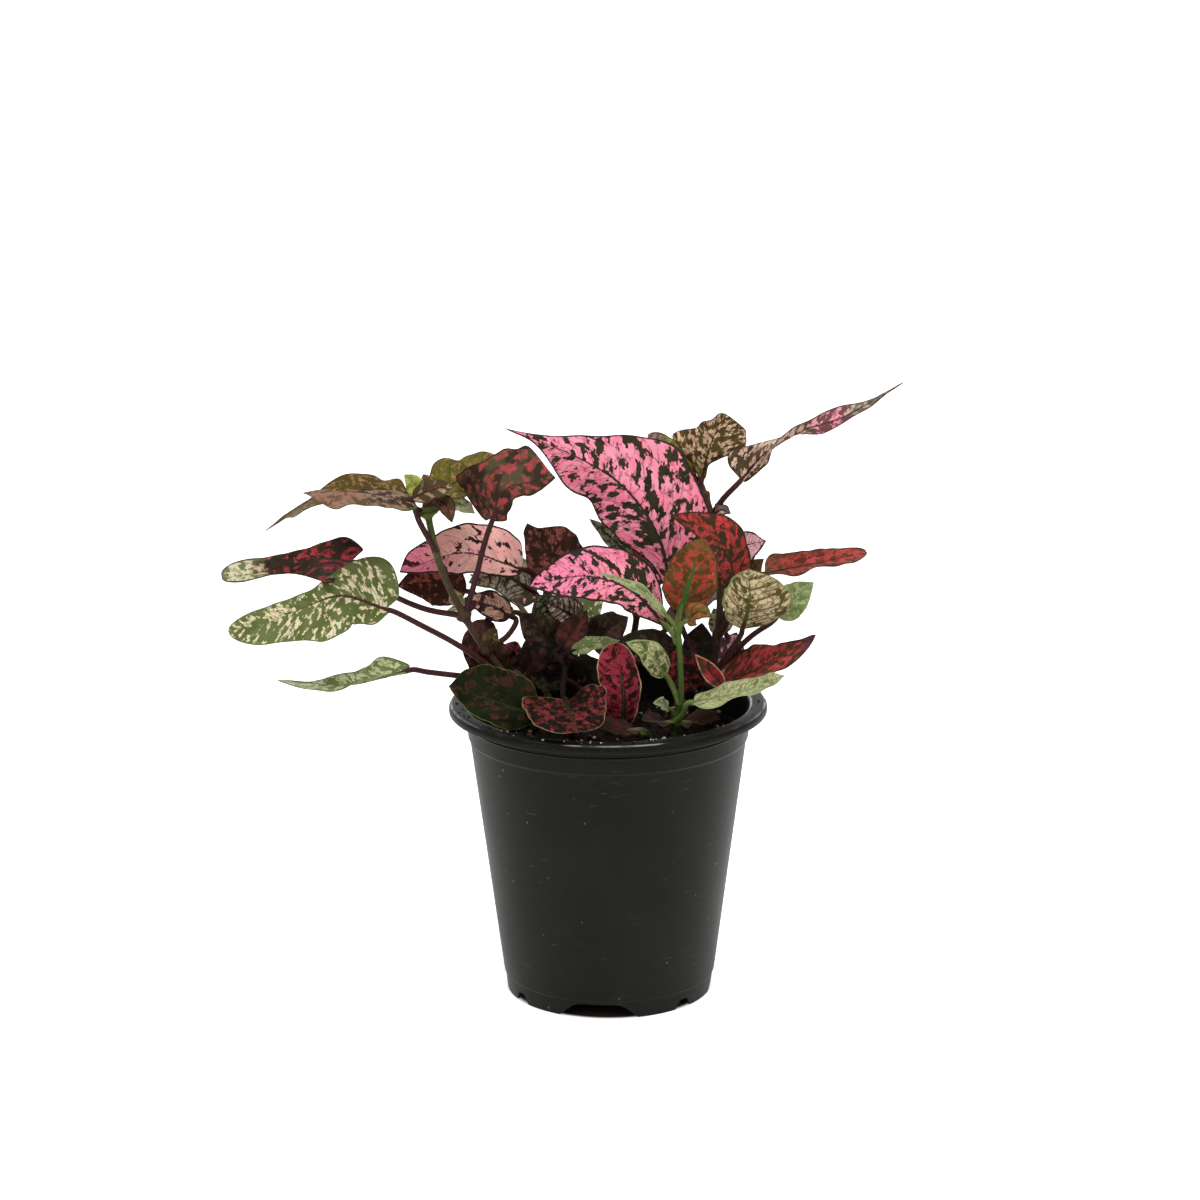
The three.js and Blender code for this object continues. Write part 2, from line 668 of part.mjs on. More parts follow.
        name: "leaf_back_slender", colour: "dark", width: 6, face: [-0.2, -0.8, 0.6],
        from: [[8, 22, 137]],
        rib: [[8, 22, 146], [1, 19, 154], [-6, 16, 161]],
      },
      {
        name: "leaf_back_tall", colour: "red", width: 26, face: [0, 0.6, 0.8],
        from: [[10, 24, 126]],
        rib: [[14, 30, 134], [18, 42, 148], [22, 56, 154]],
      },
      {
        name: "leaf_back_left", colour: "cream", width: 24, face: [-0.2, 0.4, 0.9],
        from: [[8, 26, 112]],
        rib: [[-2, 32, 118], [-12, 46, 126], [-20, 60, 126]],
      },
      {
        name: "leaf_back_right", colour: "maroon", width: 24, face: [0.2, 0.3, 0.9],
        from: [[8, 26, 112]],
        rib: [[20, 30, 118], [36, 40, 126], [54, 48, 126]],
      },
      {
        name: "leaf_back_hanging", colour: "red", width: 24, face: [0, 0.3, 0.9],
        from: [[6, 27, 99]],
        rib: [[6, 36, 104], [6, 50, 108], [5, 66, 104]],
      },
      {
        name: "leaf_back_wing", colour: "pink", width: 17, face: [0.2, 0, 1], joined: true,
        from: [[10, 24, 126], [14, 23, 132]],
        rib: [[18, 23, 137], [25, 27, 143], [33, 32, 142]],
      },
      {
        name: "leaf_back_inner", colour: "maroon", width: 14, face: [0, -0.8, 0.6], joined: true,
        from: [[8, 26, 112], [6, 22, 114]],
        rib: [[5, 18, 118], [0, 12, 123], [-6, 8, 124]],
      },
    ],
  },
  {
    name: "stem_back_left",
    colour: "green",
    radius: 1.3,
    path: [[-20, 22], [-21, 23, 98], [-24, 24, 110], [-26, 26, 122]],
    leaves: [
      {
        name: "leaf_back_pink", colour: "pink", width: 26, face: [-0.2, 0.5, 0.8],
        from: [[-26, 26, 121]],
        rib: [[-30, 32, 126], [-37, 42, 133], [-44, 54, 130]],
      },
      {
        name: "leaf_back_olive", colour: "olive", width: 20, face: [0, 0.4, 0.9],
        from: [[-24, 24, 110]],
        rib: [[-18, 32, 110], [-12, 44, 113], [-8, 56, 111]],
      },
      {
        name: "leaf_back_rim", colour: "crimson", width: 22, face: [-0.3, 0.3, 0.9],
        from: [[-21, 23, 99]],
        rib: [[-30, 28, 103], [-40, 36, 108], [-48, 46, 106]],
      },
      {
        name: "leaf_back_side", colour: "cream", width: 18, face: [-0.5, 0, 0.9],
        from: [[-26, 26, 121]],
        rib: [[-33, 22, 127], [-44, 18, 130], [-56, 18, 128]],
      },
      {
        name: "leaf_back_shade", colour: "dark", width: 12, face: [0, -0.7, 0.7], joined: true,
        from: [[-24, 24, 110], [-22, 22, 112]],
        rib: [[-19, 22, 114], [-13, 20, 119], [-7, 20, 123]],
      },
      {
        name: "leaf_back_high", colour: "red", width: 18, face: [0, 0, 1], joined: true,
        from: [[-26, 26, 121], [-25, 26, 127]],
        rib: [[-22, 26, 131], [-14, 27, 136], [-5, 31, 134]],
      },
    ],
  },
];

function makeStem({ name, colour, radius, path, leaves }) {
  const [x, y] = path[0];
  const foot = [[x, y, STEM_BOTTOM], [x, y, (STEM_BOTTOM + STEM_STRAIGHT_TO) / 2], [x, y, STEM_STRAIGHT_TO]];
  let solid = solidOf(stalk([...foot, ...path.slice(1)], radius, radius * STEM_TAPER, STEM_SIDES));
  for (const leaf of leaves) {
    solid = solid.add(solidOf(petiole(leaf)));
    if (leaf.joined) solid = solid.add(solidOf(blade(leaf)));
  }
  return meshOf(name, geometryOf(solid), colour);
}

const plant = new THREE.Group();
plant.add(makePot());
plant.add(makeSoil(STEMS));
for (const stem of STEMS) {
  plant.add(makeStem(stem));
  for (const leaf of stem.leaves) {
    if (!leaf.joined) plant.add(meshOf(leaf.name, blade(leaf), leaf.colour));
  }
}

export default plant;
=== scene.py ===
# A potted polka dot plant dressed for its photograph: the pot, the peat in it, the leafy stems one by one
# with their leaves, and last the white card, the lamps and the camera. Lengths are in millimetres until
# a mesh is made.
import math
import statistics

import bmesh
import bpy
import numpy as np
from mathutils import Matrix, Vector, noise


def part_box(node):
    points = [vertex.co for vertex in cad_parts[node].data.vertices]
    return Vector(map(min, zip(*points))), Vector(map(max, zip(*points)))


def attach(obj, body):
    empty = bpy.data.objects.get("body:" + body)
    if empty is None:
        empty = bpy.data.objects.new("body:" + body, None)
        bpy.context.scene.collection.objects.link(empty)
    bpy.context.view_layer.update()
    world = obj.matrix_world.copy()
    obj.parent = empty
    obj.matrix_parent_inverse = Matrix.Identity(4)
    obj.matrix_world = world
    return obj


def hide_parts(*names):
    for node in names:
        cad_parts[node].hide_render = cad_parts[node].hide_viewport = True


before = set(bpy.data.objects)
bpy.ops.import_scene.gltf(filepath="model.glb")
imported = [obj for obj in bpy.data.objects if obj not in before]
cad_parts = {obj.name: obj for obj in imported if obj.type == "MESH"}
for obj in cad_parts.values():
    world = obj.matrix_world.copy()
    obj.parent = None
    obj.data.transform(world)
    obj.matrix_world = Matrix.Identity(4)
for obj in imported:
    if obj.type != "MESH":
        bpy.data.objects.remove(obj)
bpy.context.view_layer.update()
MM = 0.001


# Pot: a thin nursery pot, moulded in one piece from near-black polypropylene. Its rim is rolled over, a
# collar stiffens the mouth, and the foot skirt has openings that let water out from under the floor.
class Field:
    """A socket in a material's nodes. Arithmetic on it adds Math nodes."""

    def __init__(self, finish, socket):
        self.finish = finish
        self.socket = socket

    def maths(self, operation, first, second=0.0):
        return self.finish.node("Math", {"operation": operation}, {0: first, 1: second})

    def __add__(self, other):
        return self.maths("ADD", self, other)

    def __sub__(self, other):
        return self.maths("SUBTRACT", self, other)

    def __rsub__(self, other):
        return self.maths("SUBTRACT", other, self)

    def __mul__(self, other):
        return self.maths("MULTIPLY", self, other)

    def __truediv__(self, other):
        return self.maths("DIVIDE", self, other)

    def __pow__(self, other):
        return self.maths("POWER", self, other)

    def __abs__(self):
        return self.maths("ABSOLUTE", self)

    __radd__ = __add__
    __rmul__ = __mul__

    def fract(self):
        return self.maths("FRACT", self)

    def most(self, other):
        return self.maths("MAXIMUM", self, other)

    def ramp(self, start, end):
        """0 up to start, 1 past end, and smooth between them. Start may be the larger."""
        return self.finish.node("MapRange", {"interpolation_type": "SMOOTHSTEP"},
                                {"Value": self, "From Min": start, "From Max": end})


class Finish:
    """A material whose nodes are added one by one and end in a Principled shader."""

    def __init__(self, name):
        self.material = bpy.data.materials.new(name)
        self.material.use_nodes = True
        self.tree = self.material.node_tree
        self.tree.nodes.clear()

    def node(self, kind, settings=None, inputs=None, out=0):
        """Adds a shader node, sets its settings, then its sockets, and gives one of its outputs."""
        made = self.tree.nodes.new("ShaderNode" + kind)
        for name, value in (settings or {}).items():
            setattr(made, name, value)
        for name, value in (inputs or {}).items():
            if isinstance(value, Field):
                self.tree.links.new(value.socket, made.inputs[name])
            else:
                made.inputs[name].default_value = value
        return Field(self, made.outputs[out]) if made.outputs else None

    def mix(self, share, first, second):
        return self.node("Mix", {"data_type": "RGBA"}, {0: share, 6: first, 7: second}, 2)

    def noise(self, vector, scale, detail=2.0, rough=0.5, out="Fac"):
        inputs = {"Vector": vector, "Scale": scale, "Detail": detail, "Roughness": rough}
        return self.node("TexNoise", None, inputs, out)

    def cells(self, vector, scale, feature="F1", out="Distance"):
        return self.node("TexVoronoi", {"feature": feature}, {"Vector": vector, "Scale": scale}, out)

    def parts(self, vector):
        """The three numbers of a vector."""
        split = self.node("SeparateXYZ", None, {"Vector": vector})
        outputs = split.socket.node.outputs
        return [Field(self, outputs[i]) for i in range(3)]

    def vector(self, x, y, z):
        return self.node("CombineXYZ", None, {"X": x, "Y": y, "Z": z})

    def stretched(self, vector, x, y, z):
        """The vector with each of its numbers scaled."""
        return self.node("VectorMath", {"operation": "MULTIPLY"}, {0: vector, 1: (x, y, z)})

    def place(self):
        """The point of the surface in millimetres."""
        point = self.node("TexCoord", None, None, "Object")
        return self.node("VectorMath", {"operation": "SCALE"}, {0: point, "Scale": 1 / MM})

    def close(self, colour, roughness, height=None, bump=0.1, **constants):
        """Ends the material. Height is in millimetres."""
        inputs = {"Base Color": colour, "Roughness": roughness, **constants}
        if height is not None:
            bumped = {"Height": height, "Strength": 1.0, "Distance": bump * MM}
            inputs["Normal"] = self.node("Bump", None, bumped, "Normal")
        shader = self.node("BsdfPrincipled", None, inputs, "BSDF")
        self.node("OutputMaterial", None, {"Surface": shader})
        return self.material


def paint(red, green, blue):
    """A colour seen on a screen, from 0 to 255, as the linear light that a material takes."""
    def light(level):
        share = level / 255
        return share / 12.92 if share < 0.04045 else ((share + 0.055) / 1.055) ** 2.4
    return (light(red), light(green), light(blue), 1.0)


def piece(name, points, faces, material, slot):
    """A mesh object from points in millimetres. It rides on the one body and is smooth shaded."""
    mesh = bpy.data.meshes.new(name)
    mesh.from_pydata((np.asarray(points) * MM).tolist(), [], faces)
    mesh.polygons.foreach_set("use_smooth", [True] * len(mesh.polygons))
    mesh.materials.append(material)
    made = bpy.data.objects.new(name, mesh)
    bpy.context.collection.objects.link(made)
    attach(made, "root")
    return made


def bent(start, corner, end, steps):
    """Points of the curve that runs from start to end and is pulled towards the corner."""
    shares = np.linspace(0, 1, steps)
    return [(1 - s) ** 2 * start + 2 * s * (1 - s) * corner + s ** 2 * end for s in shares]


def softened(profile):
    """A profile of (radius, height, roundness) corners, with a small curve in place of each round one."""
    corners = np.array([corner[:2] for corner in profile], float)
    outline = []
    for i, (_, _, size) in enumerate(profile):
        if size == 0 or i in (0, len(profile) - 1):
            outline.append(corners[i])
            continue
        to_last, to_next = corners[i - 1] - corners[i], corners[i + 1] - corners[i]
        start = corners[i] + to_last * min(0.49, size / np.linalg.norm(to_last))
        end = corners[i] + to_next * min(0.49, size / np.linalg.norm(to_next))
        outline += bent(start, corners[i], end, CORNER_STEPS)
    return np.array(outline)


def spun(outline, segments):
    """The outline turned round the Z axis. It starts and ends on the axis."""
    turns = np.linspace(0, 2 * math.pi, segments, endpoint=False)
    rings = outline[1:-1]
    points = [(0, 0, outline[0][1]), (0, 0, outline[-1][1])]
    for radius, height in rings:
        points += [(radius * math.cos(turn), radius * math.sin(turn), height) for turn in turns]
    faces = []
    last = 2 + (len(rings) - 1) * segments
    for j in range(segments):
        k = (j + 1) % segments
        faces.append((0, 2 + k, 2 + j))
        faces.append((1, last + j, last + k))
        for i in range(len(rings) - 1):
            a = 2 + i * segments
            faces.append((a + j, a + k, a + segments + k, a + segments + j))
    return points, faces


_, pot_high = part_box("pot")
POT_HEIGHT = pot_high[2] / MM
RIM_RADIUS = pot_high[0] / MM
LIP_DEPTH = 3.3
COLLAR_HEIGHT = 89.8
COLLAR_RADIUS = 47.0
COLLAR_STEP = 0.6
NECK_RADIUS = 48.4
BEAD_RADIUS = 48.4
BEAD_DROP = 3.2
RIDGE_HEIGHT = 6.4
RIDGE_RADIUS = 36.2
FOOT_RADIUS = 35.2
WALL = 1.1
FLOOR_HEIGHT = 5.2
WELL_RADIUS = 15.0
WELL_FLARE = 2.0
POT_SEGMENTS = 180
POT_SHARP_ANGLE = 38
CORNER_STEPS = 5

lip_bottom = POT_HEIGHT - LIP_DEPTH
rim_inside = RIM_RADIUS - WALL
pot_profile = [
    (0, 0, 0),
    (WELL_RADIUS, 0, 0.5),
    (WELL_RADIUS + WELL_FLARE, FLOOR_HEIGHT, 0.5),
    (FOOT_RADIUS - WALL, FLOOR_HEIGHT, 0.5),
    (FOOT_RADIUS - WALL, 0, 0.2),
    (FOOT_RADIUS, 0, 0.3),
    (RIDGE_RADIUS - 0.45, RIDGE_HEIGHT - 0.35, 0.3),
    (RIDGE_RADIUS, RIDGE_HEIGHT, 0.35),
    (COLLAR_RADIUS, COLLAR_HEIGHT - COLLAR_STEP, 0.5),
    (COLLAR_RADIUS + COLLAR_STEP, COLLAR_HEIGHT, 0.45),
    (BEAD_RADIUS - 0.35, lip_bottom - BEAD_DROP - 0.45, 0.2),
    (BEAD_RADIUS, lip_bottom - BEAD_DROP, 0.3),
    (BEAD_RADIUS - 0.3, lip_bottom - BEAD_DROP + 0.45, 0.2),
    (NECK_RADIUS, lip_bottom + 0.4, 1.2),
    (NECK_RADIUS + 0.7, POT_HEIGHT - WALL, 1.0),
    (rim_inside, POT_HEIGHT - WALL, 0.8),
    (rim_inside, lip_bottom, 0.2),
    (RIM_RADIUS, lip_bottom, 0.4),
    (RIM_RADIUS, POT_HEIGHT - 1.3, 0.8),
    (RIM_RADIUS - 1.3, POT_HEIGHT, 1.4),
    (NECK_RADIUS + 1.4, POT_HEIGHT, 0.8),
    (NECK_RADIUS - 0.5, POT_HEIGHT - 0.7, 1.0),
    (NECK_RADIUS - WALL, lip_bottom, 1.0),
    (COLLAR_RADIUS + COLLAR_STEP - WALL, COLLAR_HEIGHT, 0.4),
    (COLLAR_RADIUS - WALL, COLLAR_HEIGHT - COLLAR_STEP, 0.4),
    (RIDGE_RADIUS - WALL, FLOOR_HEIGHT + WALL, 0.8),
    (WELL_RADIUS + WELL_FLARE + WALL, FLOOR_HEIGHT + WALL, 0.5),
    (WELL_RADIUS + WALL, WALL, 0.5),
    (0, WALL, 0),
]

DRAINS = 7
WIDE_DRAINS = (0, 2, 5)
DRAIN_TURN = -6.3
ARCH = {"bottom": 13.4, "top": 8.0, "height": 5.0}
NOTCH = {"bottom": 3.7, "top": 1.6, "height": 3.2}
DRAIN_HOLE_RADIUS = 3.2
DRAIN_HOLE_CIRCLE = 26.5
SHOULDER_ROUNDNESS = 0.35
SHOULDER_STEPS = 6
DRILL_SIDES = 24
CUT_INWARDS = 8
CUT_OUTWARDS = 4
CUT_THROUGH = 3


def drain_outline(bottom, top, height):
    """Half of the opening's outline from the ground to the middle of its top, with a round shoulder."""
    shoulder, foot = np.array([top, height]), np.array([bottom, 0.0])
    slope = (foot - shoulder) / np.linalg.norm(foot - shoulder)
    size = SHOULDER_ROUNDNESS * top
    start, end = shoulder + slope * size, shoulder - np.array([size, 0])
    curve = bent(start, shoulder, end, SHOULDER_STEPS)
    return [(bottom + 1.0, -1.0), (bottom, 0.0), *map(tuple, curve)]


def drain_cutters():
    """The blocks and drills that cut the openings of the foot and the floor."""
    cut = bmesh.new()
    for i in range(DRAINS):
        turn = math.radians(DRAIN_TURN + 360 * i / DRAINS)
        cos, sin = math.cos(turn), math.sin(turn)
        half = drain_outline(**(ARCH if i in WIDE_DRAINS else NOTCH))
        outline = half + [(-x, z) for x, z in reversed(half)]
        loops = []
        for y in (CUT_INWARDS - FOOT_RADIUS, -CUT_OUTWARDS - FOOT_RADIUS):
            loops.append([cut.verts.new((x * cos - y * sin, x * sin + y * cos, z)) for x, z in outline])
        near, far = loops
        cut.faces.new(near)
        cut.faces.new(list(reversed(far)))
        for j in range(len(outline)):
            k = (j + 1) % len(outline)
            cut.faces.new((near[k], near[j], far[j], far[k]))
        ends = []
        for z in (FLOOR_HEIGHT - CUT_THROUGH, FLOOR_HEIGHT + CUT_THROUGH):
            ring = []
            for spoke in np.linspace(0, 2 * math.pi, DRILL_SIDES, endpoint=False):
                x = DRAIN_HOLE_RADIUS * math.cos(spoke)
                y = DRAIN_HOLE_RADIUS * math.sin(spoke) - DRAIN_HOLE_CIRCLE
                ring.append(cut.verts.new((x * cos - y * sin, x * sin + y * cos, z)))
            ends.append(ring)
        low, high = ends
        cut.faces.new(list(reversed(low)))
        cut.faces.new(high)
        for j in range(len(low)):
            k = (j + 1) % len(low)
            cut.faces.new((low[j], low[k], high[k], high[j]))
    bmesh.ops.recalc_face_normals(cut, faces=cut.faces)
    for corner in cut.verts:
        corner.co *= MM
    mesh = bpy.data.meshes.new("drain_cutters")
    cut.to_mesh(mesh)
    cut.free()
    return bpy.data.objects.new("drain_cutters", mesh)


def pot_finish():
    """Satin black plastic: faint turning lines, scuffs, specks, dust under the rim and a rubbed lip."""
    finish = Finish("pot plastic")
    place = finish.place()
    z = finish.parts(place)[2]
    lines = finish.noise(finish.stretched(place, 0.02, 0.02, 4.0), 1.0, 3.0, 0.6)
    rub = finish.noise(finish.stretched(place, 0.14, 0.14, 1.1), 1.0, 4.0, 0.65)
    scuffs = rub.ramp(0.6, 0.74) * finish.noise(place, 0.05, 2.0).ramp(0.45, 0.62)
    haze = finish.noise(place, 0.035, 3.0, 0.55)
    dust = finish.noise(place, 1.6, 2.0, 0.7).ramp(0.62, 0.8) * z.ramp(84.0, 100.0)
    specks = (1 - finish.cells(place, 0.22).ramp(0.05, 0.11)) * finish.noise(place, 0.11).ramp(0.55, 0.6)
    black = finish.mix(haze.ramp(0.3, 0.7), paint(13, 14, 8), paint(20, 21, 15))
    black = finish.mix(scuffs * 0.35, black, paint(84, 86, 84))
    black = finish.mix(dust * 0.35, black, paint(98, 92, 84))
    black = finish.mix(specks * 0.5, black, paint(120, 116, 106))
    lip = z.ramp(POT_HEIGHT - 0.9, POT_HEIGHT - 0.6) * (1 - z.ramp(POT_HEIGHT - 0.5, POT_HEIGHT - 0.2))
    worn = lip * finish.noise(place, 0.12, 3.0, 0.6).ramp(0.35, 0.6)
    roughness = 0.36 + haze * 0.16 + scuffs * 0.12 + dust * 0.25
    height = lines * 0.5 + rub * 0.35 - scuffs * 0.15
    gloss = {"Specular IOR Level": 0.1, "Coat Weight": worn, "Coat Roughness": 0.07}
    return finish.close(black, roughness, height, 0.05, **gloss)


pot_points, pot_faces = spun(softened(pot_profile), POT_SEGMENTS)
pot = piece("pot", pot_points, pot_faces, pot_finish(), "pot")
cutters = drain_cutters()
bpy.context.collection.objects.link(cutters)
cut = pot.modifiers.new("drains", "BOOLEAN")
cut.object = cutters
cut.operation = "DIFFERENCE"
cut.solver = "EXACT"
pot.data = bpy.data.meshes.new_from_object(pot.evaluated_get(bpy.context.evaluated_depsgraph_get()))
pot.modifiers.clear()
bpy.data.objects.remove(cutters)
pot.data.set_sharp_from_angle(angle=math.radians(POT_SHARP_ANGLE))
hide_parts("pot")


# Peat: dark moist peat fills the pot up to its collar and is a little mounded. Crumbs of it, white grains
# of perlite and a few shreds of bark lie loose on top, and some of them on the rim.
GAP = 0.3
SOIL_LEVEL = 89.5
SOIL_MOUND = 2.2
SOIL_RINGS = 74
SOIL_SEGMENTS = 200
CRUMBS = 900
PERLITE_GRAINS = 75
BARK_SHREDS = 40
RIM_CRUMBS = 90
CRUMBS_EDGE = 45
SHREDS_EDGE = 43
RIM_CRUMBS_TURN = -108
RIM_CRUMBS_SPREAD = 42
LUMP_UNEVENNESS = 0.28
LUMP_TILT = 0.5


def soil_height(x, y):
    """Height of the peat's lumpy surface over a point of the plan."""
    mound = SOIL_MOUND * (1 - math.hypot(x, y) / COLLAR_RADIUS)
    lumps = 0.7 * math.sin(0.31 * x + 1.1) * math.cos(0.27 * y) + 0.45 * math.sin(0.62 * y - 0.48 * x)
    clods = 0.8 * noise.noise(Vector((x * 0.35, y * 0.35, 3.1))) + 0.5 * noise.noise(Vector((x, y, 7.7)))
    return SOIL_LEVEL + mound + lumps + clods


def soil_shape():
    clear = WALL + GAP
    in_well = WELL_RADIUS + WALL - 2 * GAP
    outline = [
        (0, clear),
        (in_well, clear),
        (in_well + WELL_FLARE, FLOOR_HEIGHT + clear),
        (RIDGE_RADIUS - clear, FLOOR_HEIGHT + clear),
        (COLLAR_RADIUS - clear - 0.2, SOIL_LEVEL - 2),
    ]
    outline += [(radius, SOIL_LEVEL) for radius in np.linspace(COLLAR_RADIUS - clear - 0.3, 0, SOIL_RINGS)]
    points, faces = spun(np.array(outline), SOIL_SEGMENTS)
    points = [(x, y, soil_height(x, y)) if z > SOIL_LEVEL - 1 else (x, y, z) for x, y, z in points]
    return points, faces


def peat_finish(name, dark, light):
    """Moist peat: fibres and crumbs in browns that are nearly black, matt all over."""
    finish = Finish(name)
    place = finish.place()
    grain = finish.noise(place, 0.9, 5.0, 0.7)
    patch = finish.noise(place, 0.13, 2.0)
    colour = finish.mix(grain.ramp(0.35, 0.72), paint(*dark), paint(*light))
    colour = finish.mix(patch.ramp(0.45, 0.7) * 0.5, colour, paint(*dark))
    fibres = finish.noise(finish.stretched(place, 2.4, 0.5, 1.2), 1.0, 3.0).ramp(0.66, 0.74)
    colour = finish.mix(fibres * 0.5, colour, paint(92, 66, 44))
    height = grain + fibres * 0.3
    return finish.close(colour, 0.78 + grain * 0.2, height, 0.5, **{"Specular IOR Level": 0.12})


def ball(rings):
    """A ball of unit radius, as points and faces."""
    made = bmesh.new()
    bmesh.ops.create_icosphere(made, subdivisions=rings, radius=1.0)
    points = np.array([corner.co for corner in made.verts])
    faces = [[corner.index for corner in face.verts] for face in made.faces]
    made.free()
    return points, faces


def merged(meshes):
    """The points and faces of several meshes as those of one."""
    points, faces, start = [], [], 0
    for mesh_points, mesh_faces in meshes:
        points.append(mesh_points)
        faces += [tuple(start + corner for corner in face) for face in mesh_faces]
        start += len(mesh_points)
    return np.concatenate(points), faces


def scattered(places, sizes, rings, squash, chance):
    """One mesh of many uneven lumps, each turned and tilted at random, at the places given."""
    shape, shape_faces = ball(rings)
    lumps = []
    for place, size in zip(places, sizes):
        uneven = chance.uniform(-LUMP_UNEVENNESS, LUMP_UNEVENNESS, (len(shape), 1))
        lump = shape * (1 + uneven) * chance.uniform(squash, 1, 3)
        turn, tip = chance.uniform(0, 2 * math.pi), chance.uniform(-LUMP_TILT, LUMP_TILT)
        cos, sin = math.cos(turn), math.sin(turn)
        turned = lump @ np.array([[cos, sin, 0], [-sin, cos, 0], [0, 0, 1]])
        cos, sin = math.cos(tip), math.sin(tip)
        tilted = turned @ np.array([[1, 0, 0], [0, cos, sin], [0, -sin, cos]])
        lumps.append((tilted * size + np.array(place), shape_faces))
    return merged(lumps)


def on_soil(count, chance, outer, lift):
    """Places spread evenly over the peat, raised by lift."""
    places = []
    for _ in range(count):
        radius, turn = outer * math.sqrt(chance.uniform(0, 1)), chance.uniform(0, 2 * math.pi)
        x, y = radius * math.cos(turn), radius * math.sin(turn)
        places.append((x, y, soil_height(x, y) + lift))
    return places


soil_points, soil_faces = soil_shape()
soil = piece("soil", soil_points, soil_faces, peat_finish("peat", (12, 8, 6), (34, 25, 18)), "soil")
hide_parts("soil")

chance = np.random.default_rng(7)
crumb_peat = peat_finish("peat crumbs", (14, 10, 7), (48, 35, 25))
crumb_sizes = 0.35 + 1.5 * chance.random(CRUMBS) ** 3
crumbs = scattered(on_soil(CRUMBS, chance, CRUMBS_EDGE, 0.1), crumb_sizes, 2, 0.55, chance)
piece("peat_crumbs", *crumbs, crumb_peat, "soil")

perlite = Finish("perlite")
perlite_place = perlite.place()
pores = perlite.cells(perlite_place, 2.2)
perlite_tone = perlite.noise(perlite_place, 0.8).ramp(0.4, 0.75)
perlite_colour = perlite.mix(perlite_tone, paint(206, 200, 188), paint(150, 138, 120))
perlite.close(perlite_colour, 0.8 + pores * 0.1, pores, 0.3)
perlite_sizes = 0.4 + 0.9 * chance.random(PERLITE_GRAINS) ** 2
grains = scattered(on_soil(PERLITE_GRAINS, chance, CRUMBS_EDGE, 0.4), perlite_sizes, 2, 0.6, chance)
piece("perlite_grains", *grains, perlite.material, "soil")

shreds = on_soil(BARK_SHREDS, chance, SHREDS_EDGE, 0.7)
bark = scattered(shreds, 1.2 + 1.6 * chance.random(BARK_SHREDS), 1, 0.12, chance)
piece("bark_shreds", *bark, peat_finish("bark", (52, 34, 24), (118, 84, 56)), "soil")

# The crumbs on the rim lie thickest at the front left, where the leaves hang over it.
rim_places = []
for _ in range(RIM_CRUMBS):
    turn = math.radians(chance.normal(RIM_CRUMBS_TURN, RIM_CRUMBS_SPREAD))
    radius = chance.uniform(NECK_RADIUS + 0.6, RIM_RADIUS - 1.4)
    rim_places.append((radius * math.cos(turn), radius * math.sin(turn), POT_HEIGHT + 0.08))
rim_sizes = 0.14 + 0.5 * chance.random(RIM_CRUMBS) ** 3
split = RIM_CRUMBS // 3
rim_grains = scattered(rim_places[:split], rim_sizes[:split], 1, 0.6, chance)
piece("rim_perlite", *rim_grains, perlite.material, "soil")
rim_crumbs = scattered(rim_places[split:], rim_sizes[split:], 1, 0.6, chance)
piece("rim_crumbs", *rim_crumbs, crumb_peat, "soil")


# Stalks: the stems are slightly four-sided, swollen where leaves leave them, and set with short pale
# hairs. Each leaf's own stalk is flared at its foot and runs on under the blade as its midrib.
STEM_BOTTOM = 68.0
STEM_STRAIGHT_TO = 92.5
STEM_TAPER = 0.75
STEM_SIDES = 14
STEM_SQUARENESS = 0.05
STEM_SPACING = 0.8
JOINT_SWELLING = 0.24
JOINT_REACH = 1.5
JOINT_STEPS = 399
STALK_RADIUS = 0.9
STALK_FOOT_RADIUS = 1.04
STALK_SIDES = 10
STALK_FLARE = 0.45
FLARE_REACH = 1.6
STALK_ENDING = 4.5
APPROACH = 2.5
UNDER_BLADE = ((0.0, 0.12), (1.5, 0.3), (4.0, 0.3))
SMALL_LEAF = 9
SMALL_STALK = 0.75
HAIRS_PER_MM = 2.2
HAIR_LENGTH = 0.55
HAIR_RADIUS = 0.03
HAIR_SPREAD = 0.35


def unit(vectors):
    return vectors / np.linalg.norm(vectors, axis=-1, keepdims=True)


class Line:
    """A smooth line through points, a centripetal spline, read by the share of its length."""

    def __init__(self, points):
        inner = np.array(points, float)
        knots = np.vstack([2 * inner[0] - inner[1], inner, 2 * inner[-1] - inner[-2]])
        gaps = np.sqrt(np.linalg.norm(np.diff(knots, axis=0), axis=1))[:, None]
        before, here, after = gaps[:-2], gaps[1:-1], gaps[2:]
        p0, p1, p2, p3 = knots[:-3], knots[1:-2], knots[2:-1], knots[3:]
        leave = ((p1 - p0) / before - (p2 - p0) / (before + here) + (p2 - p1) / here) * here
        arrive = ((p2 - p1) / here - (p3 - p1) / (here + after) + (p3 - p2) / after) * here
        square, cube = 3 * (p2 - p1) - 2 * leave - arrive, 2 * (p1 - p2) + leave + arrive
        self.terms = np.stack([p1, leave, square, cube])
        self.spots = np.linspace(0, len(inner) - 1, 40 * (len(inner) - 1) + 1)
        fine = self.at(self.spots)
        self.reach = np.concatenate([[0], np.cumsum(np.linalg.norm(np.diff(fine, axis=0), axis=1))])
        self.length = self.reach[-1]

    def at(self, spots, lean=False):
        k = np.minimum(spots.astype(int), self.terms.shape[1] - 1)
        t = (spots - k)[:, None]
        a, b, c, d = self.terms[:, k]
        return unit(b + 2 * c * t + 3 * d * t * t) if lean else a + b * t + c * t * t + d * t ** 3

    def read(self, shares, lean=False):
        """Points of the line, or its directions, at the shares of its length."""
        return self.at(np.interp(np.asarray(shares, float) * self.length, self.reach, self.spots), lean)


